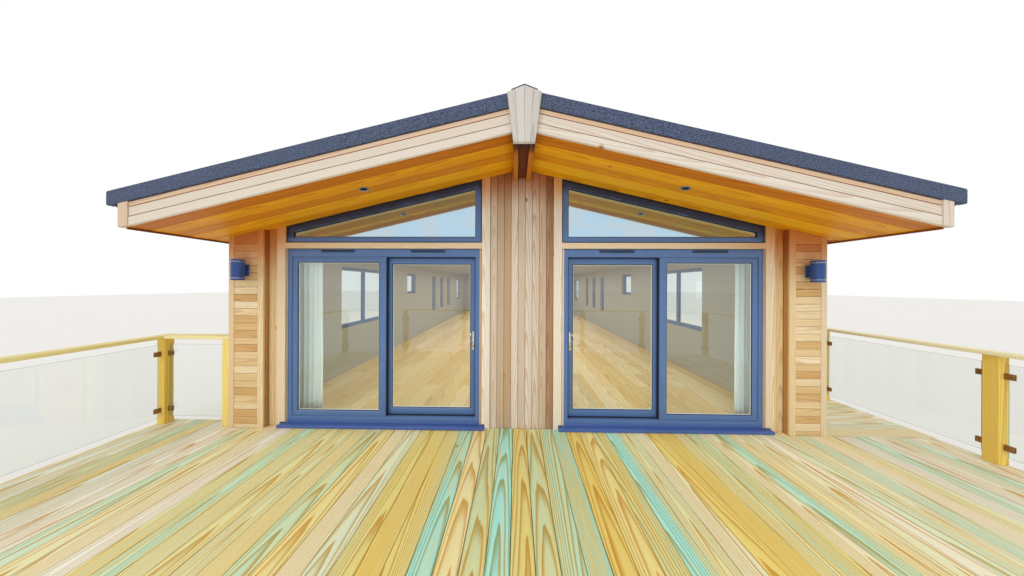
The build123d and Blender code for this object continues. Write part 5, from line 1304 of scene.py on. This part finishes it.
class CARAVAN_OT_stage(bpy.types.Operator):
    """Sets the plain pale floor, the soft studio light and the camera at the photograph's view"""
    bl_idname = "caravan.stage"
    bl_label = "Stage"

    def execute(self, context):
        scene, look = context.scene, context.scene.caravan_look
        clear_selection()
        bpy.ops.mesh.primitive_plane_add(size=160, location=(0, 4, -0.0005))
        floor = placed(bpy.context.object, "studio_floor")
        # Matt painted studio floor: pale, with the faintest mottling.
        material, colour = bpy.data.materials.new("studio_floor_paint"), tuple(look.floor_colour)
        s = Surface(material)
        tint = s.mix(s.noise(s.place(), 0.8, 2.0), (*[part * 0.98 for part in colour], 1), (*colour, 1), "MIX")
        s.end(s.add("BsdfPrincipled", {"Base Color": tint, "Roughness": 0.9}))
        floor.data.materials.append(material)

        # What is seen of the surroundings, straight or in glass, is white. The light that they give is a little warm.
        scene.world = scene.world or bpy.data.worlds.new("studio")
        s = Surface(scene.world)
        path = s.add("LightPath").outputs
        seen = s.number("MAXIMUM", path["Is Camera Ray"], path["Is Glossy Ray"])
        seen = s.number("MAXIMUM", seen, path["Is Transmission Ray"])
        light = s.add("Background", {"Color": (1.0, 0.985, 0.965, 1), "Strength": look.sky})
        white = s.add("Background", {"Color": (1, 1, 1, 1), "Strength": 1.0})
        s.end(s.add("MixShader", {0: seen, 1: light.outputs[0], 2: white.outputs[0]}), "OutputWorld")

        bpy.ops.object.light_add(type="SUN", location=(-6, -8, 12))
        sun = bpy.context.object
        sun.name = "key_light"
        sun.data.energy = look.key
        sun.data.angle = math.radians(25)
        sun.rotation_euler = Vector((0.42, 0.72, -0.80)).to_track_quat("-Z", "Y").to_euler()
        soft_light("room_light", (0, 6.0, 2.80), (5.0, 11.0), 280.0, None)
        soft_light("porch_fill", (0, -2.2, 0.75), (7.5, 1.2), 80.0, (0.0, 0.55, 0.84))

        data = bpy.data.cameras.new("photo_view")
        camera = bpy.data.objects.new("photo_view", data)
        scene.collection.objects.link(camera)
        data.sensor_width, data.lens, data.shift_y, data.clip_start = 36.0, 8.44, -0.0029, 0.05
        turn, upright, roll = math.radians(0.95), math.pi / 2, math.radians(0.22)
        camera.matrix_world = (Matrix.Translation((-0.066, -2.80, 2.27)) @ Matrix.Rotation(turn, 4, "Z")
                               @ Matrix.Rotation(upright, 4, "X") @ Matrix.Rotation(roll, 4, "Z"))
        scene.camera = camera
        scene.view_settings.view_transform = "Standard"
        return {"FINISHED"}


class CARAVAN_PT_build(bpy.types.Panel):
    """Lists the sizes, the colours and the steps that build the caravan"""
    bl_idname = "CARAVAN_PT_build"
    bl_label = "Static caravan"
    bl_space_type = "VIEW_3D"
    bl_region_type = "UI"
    bl_category = "Caravan"

    def draw(self, context):
        column = self.layout.column(align=True)
        for group in (context.scene.caravan_sizes, context.scene.caravan_look):
            for name in group.__annotations__:
                column.prop(group, name)
            column.separator()
        for step in STEPS:
            column.operator(step.bl_idname)


STEPS = (
    CARAVAN_OT_front_boards, CARAVAN_OT_side_boards, CARAVAN_OT_door_trims, CARAVAN_OT_soffits, CARAVAN_OT_fascias,
    CARAVAN_OT_roof, CARAVAN_OT_doors, CARAVAN_OT_windows, CARAVAN_OT_deck, CARAVAN_OT_balustrade,
    CARAVAN_OT_lights, CARAVAN_OT_room, CARAVAN_OT_stage,
)
CLASSES = (CaravanSizes, CaravanLook, *STEPS, CARAVAN_PT_build)


def register():
    for entry in CLASSES:
        bpy.utils.register_class(entry)
    bpy.types.Scene.caravan_sizes = bpy.props.PointerProperty(type=CaravanSizes)
    bpy.types.Scene.caravan_look = bpy.props.PointerProperty(type=CaravanLook)


def unregister():
    del bpy.types.Scene.caravan_look
    del bpy.types.Scene.caravan_sizes
    for entry in reversed(CLASSES):
        bpy.utils.unregister_class(entry)


def main():
    """Builds every piece in order."""
    register()
    for step in STEPS:
        group, name = step.bl_idname.split(".")
        getattr(getattr(bpy.ops, group), name)()


if __name__ == "__main__":
    main()
